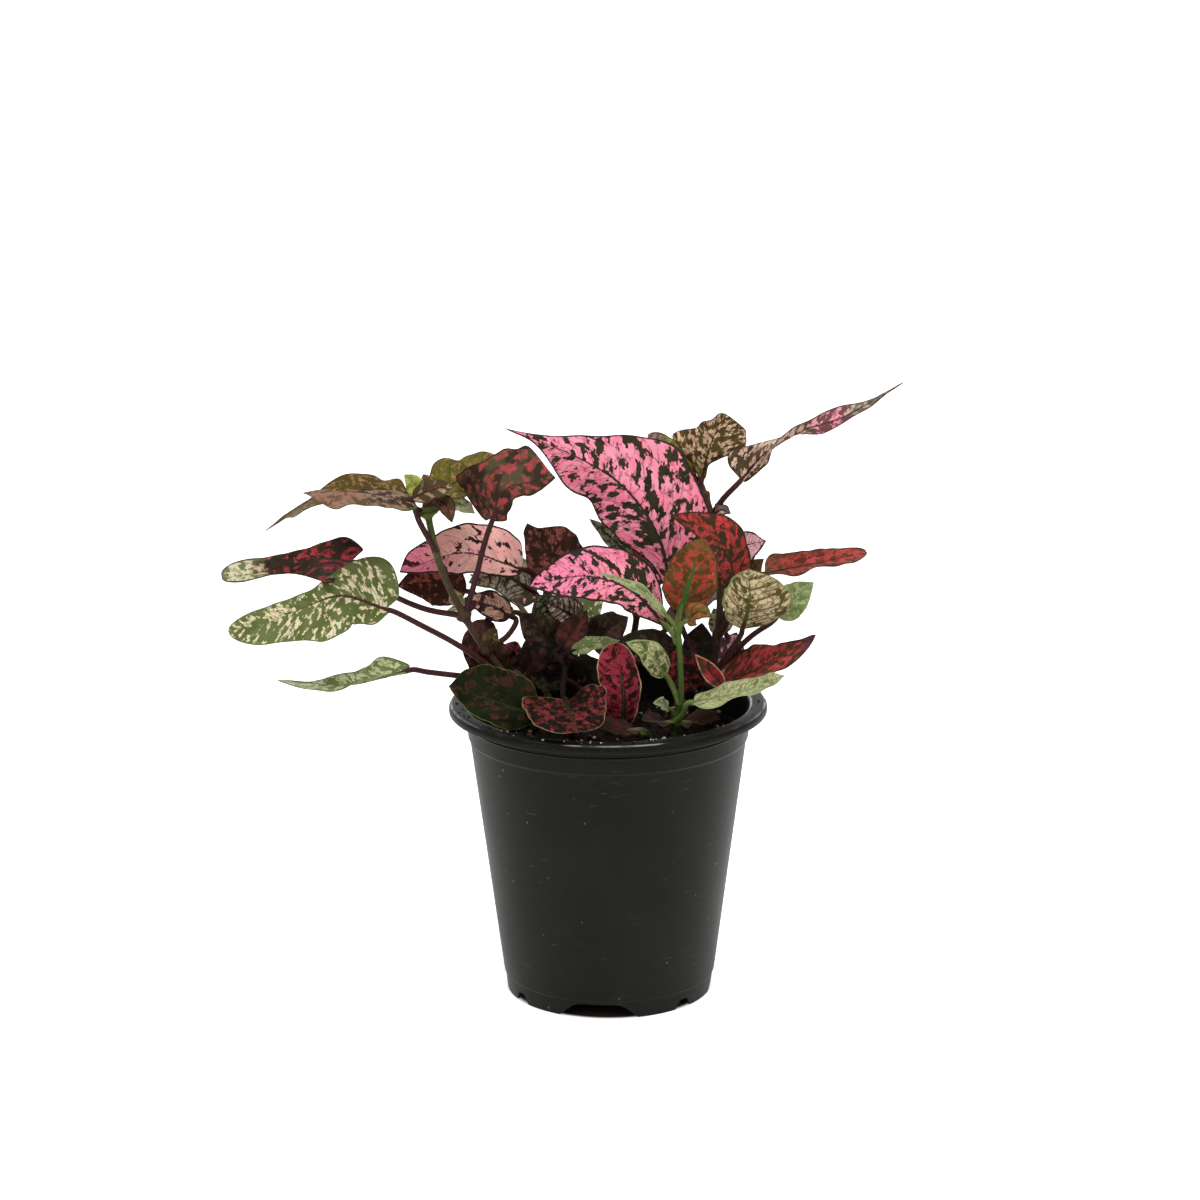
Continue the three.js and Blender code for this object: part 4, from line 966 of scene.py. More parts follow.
# Left stem: brown-olive, leaning out over the rim, with purple leaf stalks. Its leaves run from the long
# cream-flecked ones at the left to the big red one and the puckered olive one on top.
left_bark = stalk_finish("stem_left", (70, 52, 38), (80, 92, 40), (64, 32, 34), turn=156)
left_path = [(-22, -4), (-24, -5, 98), (-31, -7, 108), (-41, -9, 122), (-48, -10, 134), (-54, -11, 147),
             (-57, -12, 157), (-60, -12, 172)]
leafy_stem("stem_left", left_bark, "stem_purple", 1.5, left_path, [
    leaf("leaf_left_tail", "leaf_olive", OLIVE, 17, (-0.2, -0.25, 1), [(-60, -12, 171)],
         [(-63, -7, 175), (-82, 2, 175), (-100, 5, 170), (-115, 6, 160)], point=1.6, veins=7,
         bumps=((0.07, 1, -0.6, 0.06), (0.26, 1, -0.3, 0.06), (0.8, 1, -0.7, 0.17), (0.36, -1, 1.0, 0.11),
              (0.76, -1, 2.4, 0.08))),
    leaf("leaf_left_rosy", "leaf_pale", dict(spots=((150, 104, 88), (142, 106, 86)),
              ground=((112, 86, 62), (96, 70, 52)), cover=0.5, streak=2.0, rib=(66, 40, 38),
              margin=(78, 96, 56), zones=((0.55, 0.35, (142, 114, 88), (58, 40, 28)),),
              under=(96, 64, 56)), 17, (0, -0.15, 1), [(-57, -12, 157), (-62, -17, 168)],
         [(-67, -19, 176), (-83, -25, 180), (-99, -30, 181)], fold=(-8, 4), lobe=(24, 20), seed=1,
         bumps=((0.4, -1, 0.2, 0.08), (0.85, -1, 2.3, 0.13), (0.47, 1, -0.5, 0.17),
              (0.74, 1, -0.7, 0.25))),
    leaf("leaf_left_young", "leaf_olive", BUD, 7, (0, -1, 0.3), [(-60, -12, 170)],
         [(-61, -11, 175), (-64, -12, 180), (-67, -12, 183)], veins=4, seed=2),
    leaf("leaf_left_lobed", "leaf_olive", dict(OLIVE, cover=0.27, ground=((92, 84, 36), (112, 104, 42)),
              veins=0.75, vein=(58, 62, 26), zones=((0.75, 1.0, (150, 120, 80), (88, 76, 44)),)), 16,
         (0, -0.6, 0.9), [(-60, -12, 171)], [(-57, -7, 175), (-45, 1, 180), (-31, 6, 182)], lobe=(12, 12),
         seed=3, quilt=0.75, veins=5, bumps=((0, -1, -0.7, 0.1), (0.35, -1, 0.3, 0.12),
              (0.52, -1, -0.15, 0.05), (0.9, -1, 0.7, 0.25))),
    leaf("leaf_left_bronze", "leaf_olive", dict(MAROON, spots=((130, 70, 60), (110, 60, 56)),
              ground=((70, 52, 32), (84, 66, 40))), 6, (0, -1, 0.3), [(-60, -12, 170)],
         [(-56, -15, 175), (-53, -19, 174), (-51, -22, 169)], veins=4, seed=4),
    leaf("leaf_left_bud", "leaf_cream", dict(SAGE, spots=((206, 196, 156), (214, 200, 170)),
              ground=((146, 142, 100), (164, 156, 116))), 6, (0, -0.8, 0.6), [(-60, -12, 170)],
         [(-54, -9, 173), (-49, -8, 172), (-44, -9, 169)], veins=4, seed=5),
    leaf("leaf_left_flecked", "leaf_olive", dict(OLIVE, spots=((190, 158, 130), (172, 138, 110)),
              ground=((86, 62, 42), (72, 66, 40)), cover=0.45, grain=1.7, streak=3.0), 8.5, (0, -0.7, 0.7),
         [(-60, -12, 170), (-64, -16, 173)], [(-64, -18, 176.5), (-58, -19, 179), (-50, -18, 180.5)],
         veins=5, seed=76),
    leaf("leaf_left_rear", "leaf_olive", OLIVE, 17, (0, -0.3, 1), [(-60, -12, 170)],
         [(-57, -5, 172), (-53, 7, 176), (-50, 20, 172)], seed=6),
    leaf("leaf_left_red", "leaf_red", dict(RED, cover=0.4, spots=((172, 66, 72), (128, 72, 60)),
              ground=((84, 72, 50), (54, 42, 32))), 34, (-0.4, -0.8, 0.6),
         [(-48, -10, 134), (-44, -12, 147), (-41, -14, 159)],
         [(-38, -15, 168), (-34, -20, 179), (-17, -14, 182)], fold=(5, -25), halves=(1, 0.42), widest=0.42,
         lobe=(16, 0), seed=7, veins=7, quilt=0.35, bumps=((0.2, -1, 0.4, 0.1), (0.47, -1, -0.2, 0.12),
              (0.92, -1, 1.3, 0.12), (0.08, 1, 0.4, 0.06), (0.5, 1, -0.35, 0.3))),
    leaf("leaf_left_scarlet", "leaf_red", dict(RED, spots=((168, 56, 66), (138, 48, 52)),
              ground=((32, 30, 18), (50, 38, 26)), cover=0.45,
              zones=((0.62, 0.8, (210, 202, 166), (110, 114, 78)),), rib=(48, 44, 36)), 15.5, (0, -0.4, 1),
         [(-48, -10, 134), (-62, -7, 136), (-76, -6, 143)],
         [(-85, -7, 152), (-96, -10, 154), (-109, -14, 151.5), (-127.5, -20, 149.8)], widest=0.3,
         point=0.36, lobe=(10, 26), seed=8, bumps=((0.17, 1, 0.45, 0.1), (0.45, 1, -0.35, 0.13),
              (1, 1, 0.4, 0.25), (0.35, -1, 1.9, 0.12), (0.6, -1, -0.7, 0.14))),
    leaf("leaf_left_cream", "leaf_cream", dict(CREAM, rib=(72, 44, 40), rib_width=0.8, rib_end=0.6), 24,
         (-0.1, -0.85, 0.6), [(-33, -8, 111), (-50, -14, 125), (-62, -18, 133)],
         [(-73, -22, 139.5), (-88, -29, 146), (-100, -34, 143), (-112, -37, 139), (-124, -38, 136.5)],
         halves=(1.05, 0.78), widest=0.32, point=0.5, lobe=(8, 22), seed=9, veins=7,
         bumps=((0, 1, -0.25, 0.06), (0.2, 1, 0.8, 0.13), (0.55, 1, -0.45, 0.25), (0, -1, -0.6, 0.07),
              (0.16, -1, -0.35, 0.25), (0.45, -1, 0.35, 0.17))),
    leaf("leaf_left_slender", "leaf_cream", dict(CREAM, spots=((196, 194, 154), (182, 184, 144)),
              ground=((112, 126, 76), (100, 114, 66)), grain=1.1, cover=0.42,
              zones=((0.6, 1.0, (176, 182, 150), (140, 148, 112)),)), 14, (0, -0.15, 1),
         [(-33, -8, 111), (-50, -16, 115), (-60, -22, 118)],
         [(-67, -28, 120), (-87, -38, 118.3), (-108, -42, 121)], fold=(8, 22), lobe=(0, 18), seed=10,
         bumps=((0.2, 1, 0.45, 0.1), (0.5, 1, -0.3, 0.1), (0.86, 1, -0.8, 0.15), (0.15, -1, -0.8, 0.2),
              (0.43, -1, -0.8, 0.22), (0.83, -1, 1.3, 0.2))),
    leaf("leaf_left_maroon", "leaf_maroon", dict(MAROON, spots=((172, 90, 82), (140, 78, 66)),
              ground=((56, 34, 22), (66, 42, 30)), cover=0.4), 16, (0, -0.9, 0.4),
         [(-48, -10, 134), (-45, 0, 136)], [(-48, 8, 138), (-60, 8, 141), (-71, 4, 141)], seed=11),
    leaf("leaf_left_salmon", "leaf_pale", dict(PALE, spots=((226, 176, 152), (208, 164, 138)), cover=0.66,
              veins=0.8, vein=(96, 52, 56), net=0.6), 10, (-0.3, -0.8, 0.6),
         [(-41, -9, 122), (-34, -3, 125)], [(-33, 3, 130.5), (-40, 1, 135), (-49, -1, 137.5)], seed=12),
    leaf("leaf_left_dusky", "leaf_maroon", dict(MAROON, spots=((118, 74, 66), (104, 66, 60)),
              ground=((66, 40, 32), (56, 36, 30)), cover=0.5), 13, (-0.4, -0.8, 0.6),
         [(-41, -9, 122), (-41, 1, 129)], [(-40, 3, 129), (-43, 1, 121), (-41, -1, 112)], seed=13),
    leaf("leaf_left_fork", "leaf_cream", dict(SAGE, spots=((190, 176, 130), (170, 160, 110)),
              ground=((110, 104, 60), (96, 92, 52))), 5, (0, -0.8, 0.6), [(-48, -10, 134)],
         [(-49, -9, 137), (-51, -8, 140), (-52, -8, 143)], veins=4, seed=61),
    leaf("leaf_left_axil", "leaf_olive", dict(OLIVE, spots=((110, 96, 60), (96, 84, 50)),
              ground=((66, 60, 36), (58, 50, 32))), 6, (0, -0.9, 0.4), [(-41, -9, 122)],
         [(-39, -11, 124), (-39, -12, 127), (-37, -12, 130)], veins=4, seed=62),
    # The deep, depth and recess leaves fill the plant's dark middle; their dark browns are painted shade.
    leaf("leaf_left_deep", "leaf_dark", dict(SHADE, spots=((96, 54, 46), (84, 50, 42)),
              ground=((52, 46, 30), (44, 36, 28))), 14, (0, -0.9, 0.4), [(-31, -7, 108), (-32, -6, 110)],
         [(-34, -6, 112), (-38, -8, 119), (-41, -9, 127)], seed=63),
    leaf("leaf_left_depth", "leaf_maroon", dict(SHADE, spots=((112, 58, 54), (92, 50, 46)),
              ground=((60, 42, 34), (48, 36, 30))), 13, (0, -0.8, 0.5), [(-31, -7, 108), (-33, -3, 109)],
         [(-37, -1, 111), (-43, -2, 116), (-49, -3, 120)], seed=64),
    leaf("leaf_left_recess", "leaf_maroon", dict(SHADE, spots=((84, 50, 42), (70, 42, 38)),
              ground=((44, 36, 28), (36, 32, 26))), 13, (0.2, -0.9, 0.4), [(-31, -7, 108), (-29, -5, 111)],
         [(-27, -5, 113), (-26, -7, 119), (-27, -9, 126)], seed=65),
])


# Middle stem: purple-brown and half hidden. Its broad pale pink leaf shows through the gap at the left,
# with dark leaves behind it whose dark colours are painted shade.
centre_bark = stalk_finish("stem_centre", (50, 34, 30), (64, 44, 36), (60, 30, 32))
centre_path = [(-4, 4), (-5, 5, 98), (-8, 8, 106), (-14, 12, 122), (-18, 14, 133)]
leafy_stem("stem_centre", centre_bark, "stem_purple", 1.3, centre_path, [
    leaf("leaf_centre_pale", "leaf_pale", dict(PALE, spots=((255, 182, 180), (255, 200, 184)), cover=0.84,
              zones=((0.5, 0.85, (232, 130, 154), (66, 32, 40)),)), 21.5, (0, -0.7, 0.75),
         [(-18, 14, 132), (-24, 16, 140)], [(-29, 14, 144), (-49, 9, 151), (-70, 3, 146)], seed=14,
         veins=5, bumps=((0, 1, 0.9, 0.09), (0.18, 1, 0.3, 0.15), (1, 1, 1.1, 0.16),
              (0.2, -1, -0.3, 0.22))),
    leaf("leaf_centre_veined", "leaf_cream",
         dict(NETTED, net_size=2.4, net=0.7, spots=((240, 226, 206), (220, 204, 182)),
              ground=((112, 112, 84), (92, 90, 68)), vein=(66, 62, 46)), 17, (0, -0.8, 0.5),
         [(-14, 12, 121), (-21, 17, 130)], [(-27, 18, 136), (-36, 14, 142), (-47, 8, 141)], seed=15),
    leaf("leaf_centre_spotted", "leaf_maroon",
         dict(MAROON, cover=0.4, spots=((146, 80, 76), (120, 64, 58)),
              ground=((62, 40, 30), (48, 34, 24))), 24, (0.2, -0.9, 0.3), [(-18, 14, 132)],
         [(-17, 14, 138), (-20, 14, 149), (-27, 10, 161)], seed=16,
         bumps=((0.91, 1, -0.6, 0.16), (0.18, -1, -0.4, 0.25), (0.55, -1, -0.2, 0.16),
              (0.98, -1, 0.95, 0.06))),
    leaf("leaf_centre_shade", "leaf_dark", SHADE, 15, (-0.2, -0.9, 0.4), [(-8, 8, 106), (-10, 4, 112)],
         [(-14, 2, 117), (-22, 0, 125), (-30, 1, 132)], seed=17),
    leaf("leaf_centre_inner", "leaf_maroon", dict(SHADE, spots=((76, 50, 44), (62, 42, 36))), 13,
         (0, -0.9, 0.4), [(-8, 8, 106), (-9, 5, 114)], [(-6, 2, 121), (0, 1, 126), (7, 3, 130)], seed=18),
    leaf("leaf_centre_deep", "leaf_dark", dict(SHADE, ground=((30, 32, 20), (26, 24, 18))), 15,
         (0, -0.8, 0.6), [(-5, 5, 98), (-9, 4, 104)], [(-15, 3, 108), (-22, 1, 111), (-30, -2, 113)],
         seed=66),
    leaf("leaf_centre_green", "leaf_dark", dict(NETTED, spots=((150, 154, 120), (130, 136, 102)),
              ground=((70, 80, 54), (60, 66, 46)), vein=(44, 46, 34), rib=(40, 46, 30),
              margin=(50, 56, 40)), 14, (0.1, -0.9, 0.3), [(-14, 12, 122)],
         [(-16, 10, 125), (-20, 8, 131), (-24, 6, 137)], seed=67),
    leaf("leaf_centre_netted", "leaf_cream", dict(NETTED, spots=((214, 190, 168), (190, 168, 146)),
              ground=((96, 88, 68), (80, 72, 58)), vein=(58, 50, 40), rib=(50, 44, 36),
              margin=(70, 62, 48)), 12, (-0.2, -0.9, 0.3), [(-14, 12, 122), (-11, 11, 124)],
         [(-10, 10, 127), (-15, 8, 131), (-21, 7, 134)], seed=68),
    leaf("leaf_centre_brown", "leaf_maroon", dict(SHADE, spots=((88, 56, 50), (74, 46, 42))), 13,
         (0, -0.9, 0.3), [(-8, 8, 106), (-10, 6, 110)], [(-13, 4, 114), (-18, 2, 118), (-23, 0, 121)],
         seed=69),
    leaf("leaf_centre_moss", "leaf_dark", dict(DARK, spots=((84, 46, 36), (70, 40, 34)),
              ground=((34, 40, 22), (40, 44, 26))), 15, (0, -0.9, 0.4), [(-8, 8, 106), (-7, 2, 108)],
         [(-7, -3, 110), (-5, -8, 114), (-1, -12, 118)], seed=70),
])


# Green stem: it stands at the front right, and its stalks and ribs are as green as it is. It carries a
# red leaf with a green rib, a broad pink one and small pale ones.
green_bark = stalk_finish("stem_green", (70, 92, 36), (92, 116, 50), (104, 120, 62))
green_path = [(22, -20), (22, -20, 98), (24, -21, 106), (24, -22, 120), (23, -22, 134)]
leafy_stem("stem_green", green_bark, "stem_green", 1.2, green_path, [
    leaf("leaf_green_ovate", "leaf_red", dict(RED, spots=((184, 68, 56), (160, 58, 48)),
              ground=((94, 72, 34), (82, 58, 30)), cover=0.5, grain=1.7, rib=(62, 100, 40), rib_width=1.7,
              rib_end=0.85, margin=(84, 72, 38), margin_width=0.7,
              zones=((0.75, 0.95, (120, 84, 48), (88, 76, 40)),), under=(96, 110, 60)), 18, (0.1, -1, 0.2),
         [(23, -22, 133)], [(24, -20, 138), (27, -24, 149), (31, -22, 163)], widest=0.48, point=0.7,
         seed=19),
    leaf("leaf_green_young", "leaf_olive", dict(OLIVE, spots=((170, 96, 56), (150, 84, 50)),
              ground=((110, 96, 44), (92, 108, 44)), cover=0.55), 8, (0, -0.8, 0.6), [(23, -22, 133)],
         [(26, -25, 136), (30, -29, 140), (34, -32, 139)], veins=4, seed=20),
    leaf("leaf_green_folded", "leaf_cream", dict(SAGE, rib=(170, 184, 128), rib_width=0.9), 4.2,
         (-0.3, -0.6, 0.7), [(23, -22, 132)], [(19, -25, 138), (10, -30, 148), (-3, -31, 154)],
         fold=(35, 35), seed=21),
    leaf("leaf_green_pink", "leaf_pink",
         dict(PINK, grain=1.7, cover=0.64, zones=((0.15, 0.0, (150, 66, 56), (62, 60, 34)),
                                                  (0.45, 0.7, (252, 138, 168), (44, 46, 40)))),
         24, (-0.2, -0.8, 0.6), [(23, -22, 128)], [(19, -15, 132), (7, -18, 145), (-8, -20, 150),
              (-26, -22, 147)], seed=22, veins=7, bumps=((0, 1, -0.6, 0.25), (0.75, 1, 0.1, 0.12),
              (1, 1, 0.9, 0.1), (0, -1, -0.65, 0.25), (0.43, -1, -0.3, 0.25), (0.8, -1, 0.3, 0.15))),
    leaf("leaf_green_low", "leaf_cream", dict(SAGE, spots=((208, 196, 150), (196, 190, 140)),
              ground=((96, 104, 56), (80, 84, 44)), cover=0.55), 9.5, (0, -0.8, 0.6), [(24, -21, 106)],
         [(19, -20, 116), (13, -24, 125), (6, -26, 129)], seed=23),
    leaf("leaf_green_right", "leaf_cream", dict(SAGE, cover=0.86, spots=((190, 192, 146), (176, 182, 132)),
              ground=((104, 106, 66), (118, 118, 78)), net=0.8, vein=(108, 106, 62)), 15, (-0.2, -0.4, 1),
         [(22, -20, 99), (25, -25, 104)], [(28.5, -27, 108.5), (45, -30, 113), (58, -32, 119)],
         lobe=(2, 8), halves=(0.7, 1.05), seed=24, bumps=((0, -1, 0.6, 0.06), (0.58, -1, 0.4, 0.09),
              (0.91, -1, 1.3, 0.08), (0.02, 1, -0.65, 0.09), (0.54, 1, -0.55, 0.25),
              (0.94, 1, 1.3, 0.09))),
    # The foot and heel leaves on the peat are dark with painted shade.
    leaf("leaf_green_foot", "leaf_maroon", dict(SHADE, spots=((84, 34, 36), (66, 30, 32))), 12,
         (0, -0.3, 1), [(22, -20, 99)], [(20, -22, 100), (16, -26, 102), (11, -29, 103)], seed=71),
    leaf("leaf_green_heel", "leaf_maroon", dict(SHADE, spots=((84, 34, 36), (70, 34, 30))), 12,
         (0, -0.3, 1), [(22, -20, 99)], [(25, -22, 100), (31, -25, 102), (37, -28, 103)], seed=72),
    leaf("leaf_green_grey", "leaf_cream", dict(SAGE, spots=((150, 156, 140), (136, 144, 124)),
              ground=((100, 110, 86), (88, 98, 76))), 5, (0, -0.7, 0.7), [(22, -20, 102)],
         [(20, -22, 105), (18, -24, 107), (15, -26, 108)], veins=4, seed=73),
])


# Right stem: the tallest, with the big pink leaf that crosses the plant, red leaves at the right and the
# twisted one that stands out at the top right.
right_bark = stalk_finish("stem_right", (56, 38, 30), (72, 54, 36), (64, 36, 34))
right_path = [(28, 2), (29, 2, 98), (34, 1, 106), (37, 2, 122), (38, 4, 140), (36, 8, 155), (35, 9, 164),
              (33, 12, 171)]
leafy_stem("stem_right", right_bark, "stem_purple", 1.4, right_path, [
    leaf("leaf_right_grey", "leaf_olive", dict(OLIVE, spots=((170, 150, 110), (180, 168, 112)),
              ground=((148, 152, 60), (132, 134, 54)), cover=0.36,
              zones=((0.6, 0.95, (206, 150, 156), (128, 116, 108)),)), 9, (-0.2, -0.8, 0.6),
         [(33, 12, 170)], [(30, 17, 175), (23, 19, 183), (14, 17, 190)], halves=(1, 0.8), widest=0.6,
         point=0.6, seed=25),
    # The shade leaf is dark with painted shade.
    leaf("leaf_right_shade", "leaf_dark", dict(SHADE, spots=((84, 50, 44), (70, 44, 38))), 12,
         (0, -0.9, 0.4), [(34, 1, 108)], [(31, 3, 113), (31, 5, 119), (32, 6, 127)], seed=75),
    leaf("leaf_right_curl", "leaf_olive", dict(MAROON, spots=((196, 160, 156), (170, 132, 128)),
              ground=((120, 104, 96), (96, 76, 72))), 5, (0, -0.8, 0.6), [(35, 9, 163)],
         [(36, 7, 164.5), (38.5, 5, 166.5), (41.5, 4, 165.5)], veins=4, seed=26),
    leaf("leaf_right_rear", "leaf_red", RED, 18, (0.2, 0.3, 1), [(38, 4, 140), (39, 9, 141)],
         [(40, 14, 142), (45, 27, 142), (45, 40, 135)], seed=27),
    leaf("leaf_right_olive", "leaf_olive", dict(OLIVE, spots=((208, 180, 148), (190, 150, 124)),
              ground=((82, 70, 28), (66, 50, 26)), cover=0.42, veins=0.8, vein=(74, 56, 34),
              zones=((0.3, 0.0, (176, 168, 100), (118, 116, 46)),)), 25, (0, -0.9, 0.4), [(33, 12, 170)],
         [(32, 13, 175), (35, 14, 187), (40, 22, 196)], halves=(1.05, 0.95), widest=0.55, point=0.7,
         seed=28, veins=7, bumps=((0.1, -1, -0.5, 0.23), (0.45, -1, 0.15, 0.07), (0.6, -1, -0.3, 0.1),
              (0.85, -1, -0.7, 0.2), (0.18, 1, -0.85, 0.25), (0.85, 1, 0.15, 0.06))),
    leaf("leaf_right_twisted", "leaf_maroon", dict(MAROON, spots=((214, 184, 160), (196, 160, 140)),
              ground=((60, 44, 34), (84, 66, 46)), cover=0.42, grain=1.6, streak=2.2,
              zones=((0.42, 0.5, (255, 162, 180), (116, 70, 76)),
                     (0.64, 0.72, (196, 184, 160), (112, 106, 90))),
              under=(150, 124, 110), under_share=0.12), 15, (0, -0.7, 0.7), [(35, 9, 163), (39, 6, 170)],
         [(45, 4, 177), (54, 4, 187), (66, 5, 194), (79, 6, 198), (99, 8, 209)], twist=-215, widest=0.2,
         point=1.0, seed=29, bumps=((0.05, -1, 0.5, 0.08), (0.7, -1, -0.6, 0.2), (0.93, -1, -0.4, 0.1),
              (0, 1, -0.6, 0.13), (0.22, 1, 1.1, 0.06), (0.47, 1, -0.6, 0.12), (0.86, 1, -0.7, 0.16))),
    leaf("leaf_hero_pink", "leaf_pink", dict(PINK, cover=0.62), 38, (-0.3, -0.9, 0.3),
         [(34, 1, 106), (26, 3, 124)], [(22, 3, 137), (17, 4, 158), (6, 10, 173), (-10, 18, 182),
              (-35, 22, 191.5)], fold=(-5, 5), tip_fold=(-20, -65), halves=(0.82, 1.08), widest=0.44,
         point=1.4, seed=77, veins=8, quilt=0.3, bumps=((0.1, -1, -0.3, 0.08), (0.25, -1, -0.1, 0.3),
              (0.58, -1, -0.23, 0.06), (0.92, -1, -0.8, 0.12), (0.15, 1, 0.55, 0.1), (0.45, 1, 0.1, 0.1),
              (0.84, 1, -0.5, 0.25))),
    leaf("leaf_right_red", "leaf_red", dict(RED, spots=((192, 62, 62), (160, 58, 54)),
              ground=((66, 46, 30), (56, 46, 30)), cover=0.48, rib=(74, 52, 36), margin=(64, 44, 36)), 17,
         (0.3, -0.7, 0.7), [(37, 2, 122), (42, -3, 133)], [(43, -5, 141), (38, -8, 159), (21, -12, 169)],
         seed=31),
    leaf("leaf_right_rose", "leaf_pink", dict(PALE, spots=((255, 178, 192), (255, 204, 212)),
              ground=((160, 100, 110), (176, 112, 120)), net=0.4, net_size=1.8, vein=(88, 66, 68)), 12,
         (0, -0.8, 0.6), [(38, 4, 140)], [(41, 10, 147), (47, 13, 152), (54, 16, 153)], seed=32),
    leaf("leaf_right_brown", "leaf_maroon", dict(OLIVE, spots=((172, 62, 50), (150, 56, 48)),
              ground=((112, 90, 50), (96, 80, 44)), cover=0.5), 8, (0, -0.8, 0.6),
         [(37, 2, 124), (41, 9, 132)], [(45, 11, 138), (49, 11, 144), (53, 11, 148)], seed=33),
    leaf("leaf_right_long", "leaf_red", dict(RED, spots=((180, 74, 68), (158, 60, 54)),
              ground=((84, 58, 34), (94, 48, 34)), cover=0.58,
              zones=((0.2, 0.05, (160, 76, 60), (96, 80, 44)),), under=(150, 150, 110)), 17, (0, -0.3, 1),
         [(37, 2, 124), (45, 2, 138)], [(53, 2, 145), (70, 0, 149), (87, -2, 153)], widest=0.45, point=0.5,
         seed=34, bumps=((0, -1, 0.8, 0.16), (0.41, -1, -0.2, 0.11), (0.77, -1, -0.35, 0.15),
              (0.04, 1, -0.55, 0.23), (0.62, 1, -0.4, 0.17), (0.9, 1, 0.55, 0.08))),
    leaf("leaf_right_cream", "leaf_cream", dict(NETTED, net=0.6, veins=0.8), 25, (0.2, -0.9, 0.4),
         [(34, 1, 106), (38, -7, 116)], [(45, -13, 130), (47, -18, 141), (47, -11, 150)],
         halves=(0.95, 1.15), widest=0.5, seed=35, quilt=0.35,
         bumps=((0.34, -1, -0.2, 0.2), (0.7, -1, -0.2, 0.25), (0.25, 1, -0.12, 0.15),
              (0.92, 1, 0.15, 0.17))),
    leaf("leaf_right_pale", "leaf_cream", dict(SAGE, spots=((176, 186, 132), (166, 178, 122)),
              ground=((112, 128, 72), (122, 138, 82)), cover=0.4, veins=0.6, vein=(150, 168, 112)), 12,
         (0.1, -0.8, 0.5), [(34, 1, 108), (48, -2, 124)], [(57, -5, 132), (62, -6, 138), (69, -6, 144)],
         seed=36),
    leaf("leaf_right_scarlet", "leaf_red", dict(RED, spots=((190, 68, 72), (160, 62, 60)),
              ground=((92, 60, 40), (78, 52, 34)), cover=0.6,
              zones=((0.82, 0.95, (92, 44, 56), (54, 34, 40)),), under=(150, 80, 84)), 21, (0, -0.4, 1),
         [(29, 2, 99)], [(38, -8, 108), (53, -14, 118), (69, -18, 129)], point=0.75, seed=37,
         bumps=((0, -1, -0.8, 0.06), (0.1, -1, 0.7, 0.15), (0.84, -1, -0.65, 0.25), (0.03, 1, -0.7, 0.23),
              (0.33, 1, -0.3, 0.11), (1, 1, 1.3, 0.24))),
    leaf("leaf_right_lilac", "leaf_pale", dict(PALE, spots=((240, 168, 180), (236, 180, 184)),
              ground=((84, 62, 62), (96, 70, 68)), cover=0.6, net=0.6, vein=(92, 64, 72)), 14,
         (0, -0.9, 0.3), [(29, 2, 99), (34, 8, 103)], [(37, 8, 108), (41, 10, 115), (44, 12, 122)],
         seed=38),
    leaf("leaf_right_small", "leaf_cream", dict(SAGE, spots=((206, 196, 160), (192, 184, 140)),
              ground=((92, 88, 50), (80, 76, 44)), cover=0.55), 9, (0, -0.9, 0.3), [(37, 2, 120)],
         [(40, 7, 123), (38, 9, 127), (36, 10, 131)], veins=4, seed=39),
    # The inner and low leaves are dark with painted shade.
    leaf("leaf_right_inner", "leaf_dark", SHADE, 13, (0, -0.8, 0.6), [(34, 1, 106), (29, 7, 108)],
         [(24, 9, 112), (15, 8, 118), (3, 7, 121)], seed=40),
    leaf("leaf_right_low", "leaf_maroon", dict(SHADE, spots=((160, 48, 52), (118, 40, 42)),
              ground=((40, 28, 22), (32, 26, 20))), 14, (0, -0.9, 0.4), [(29, 2, 99)],
         [(29, -6, 107), (25, -8, 115), (19, -9, 122)], seed=41),
    leaf("leaf_right_folded", "leaf_red", dict(RED, spots=((176, 54, 62), (150, 48, 54)),
              ground=((84, 50, 38), (66, 52, 36)), cover=0.6, margin=(186, 150, 120), margin_width=0.4), 7,
         (-0.3, -0.8, 0.5), [(29, 2, 99), (34, -10, 102)],
         [(38, -19, 112), (34, -20, 117), (29, -20, 123)], fold=(35, 35), seed=42),
])


# Front shoot: a short green stub at the front of the peat. It bears the crimson leaf that stands before
# the plant's dark middle, and a small dark one at its foot.
front_bark = stalk_finish("stem_front", (76, 96, 44), (96, 110, 58), (110, 98, 66))
front_path = [(14, -22), (13, -25, 97), (11, -28, 98)]
leafy_stem("stem_front", front_bark, "stem_green", 1.1, front_path, [
    leaf("leaf_front_crimson", "leaf_crimson", CRIMSON, 16, (0.1, -1, 0.2), [(12, -26, 98)],
         [(5, -22, 98), (5, -24, 112), (2, -20, 127)], halves=(1, 0.76), widest=0.6, point=0.4, seed=43,
         veins=7),
    # The leaf under it is dark maroon with painted shade.
    leaf("leaf_front_under", "leaf_maroon", dict(SHADE, spots=((96, 32, 40), (76, 30, 34))), 12,
         (0, -0.3, 1), [(13, -25, 97)], [(9, -27, 99), (2, -31, 101), (-6, -34, 102)], seed=74),
])
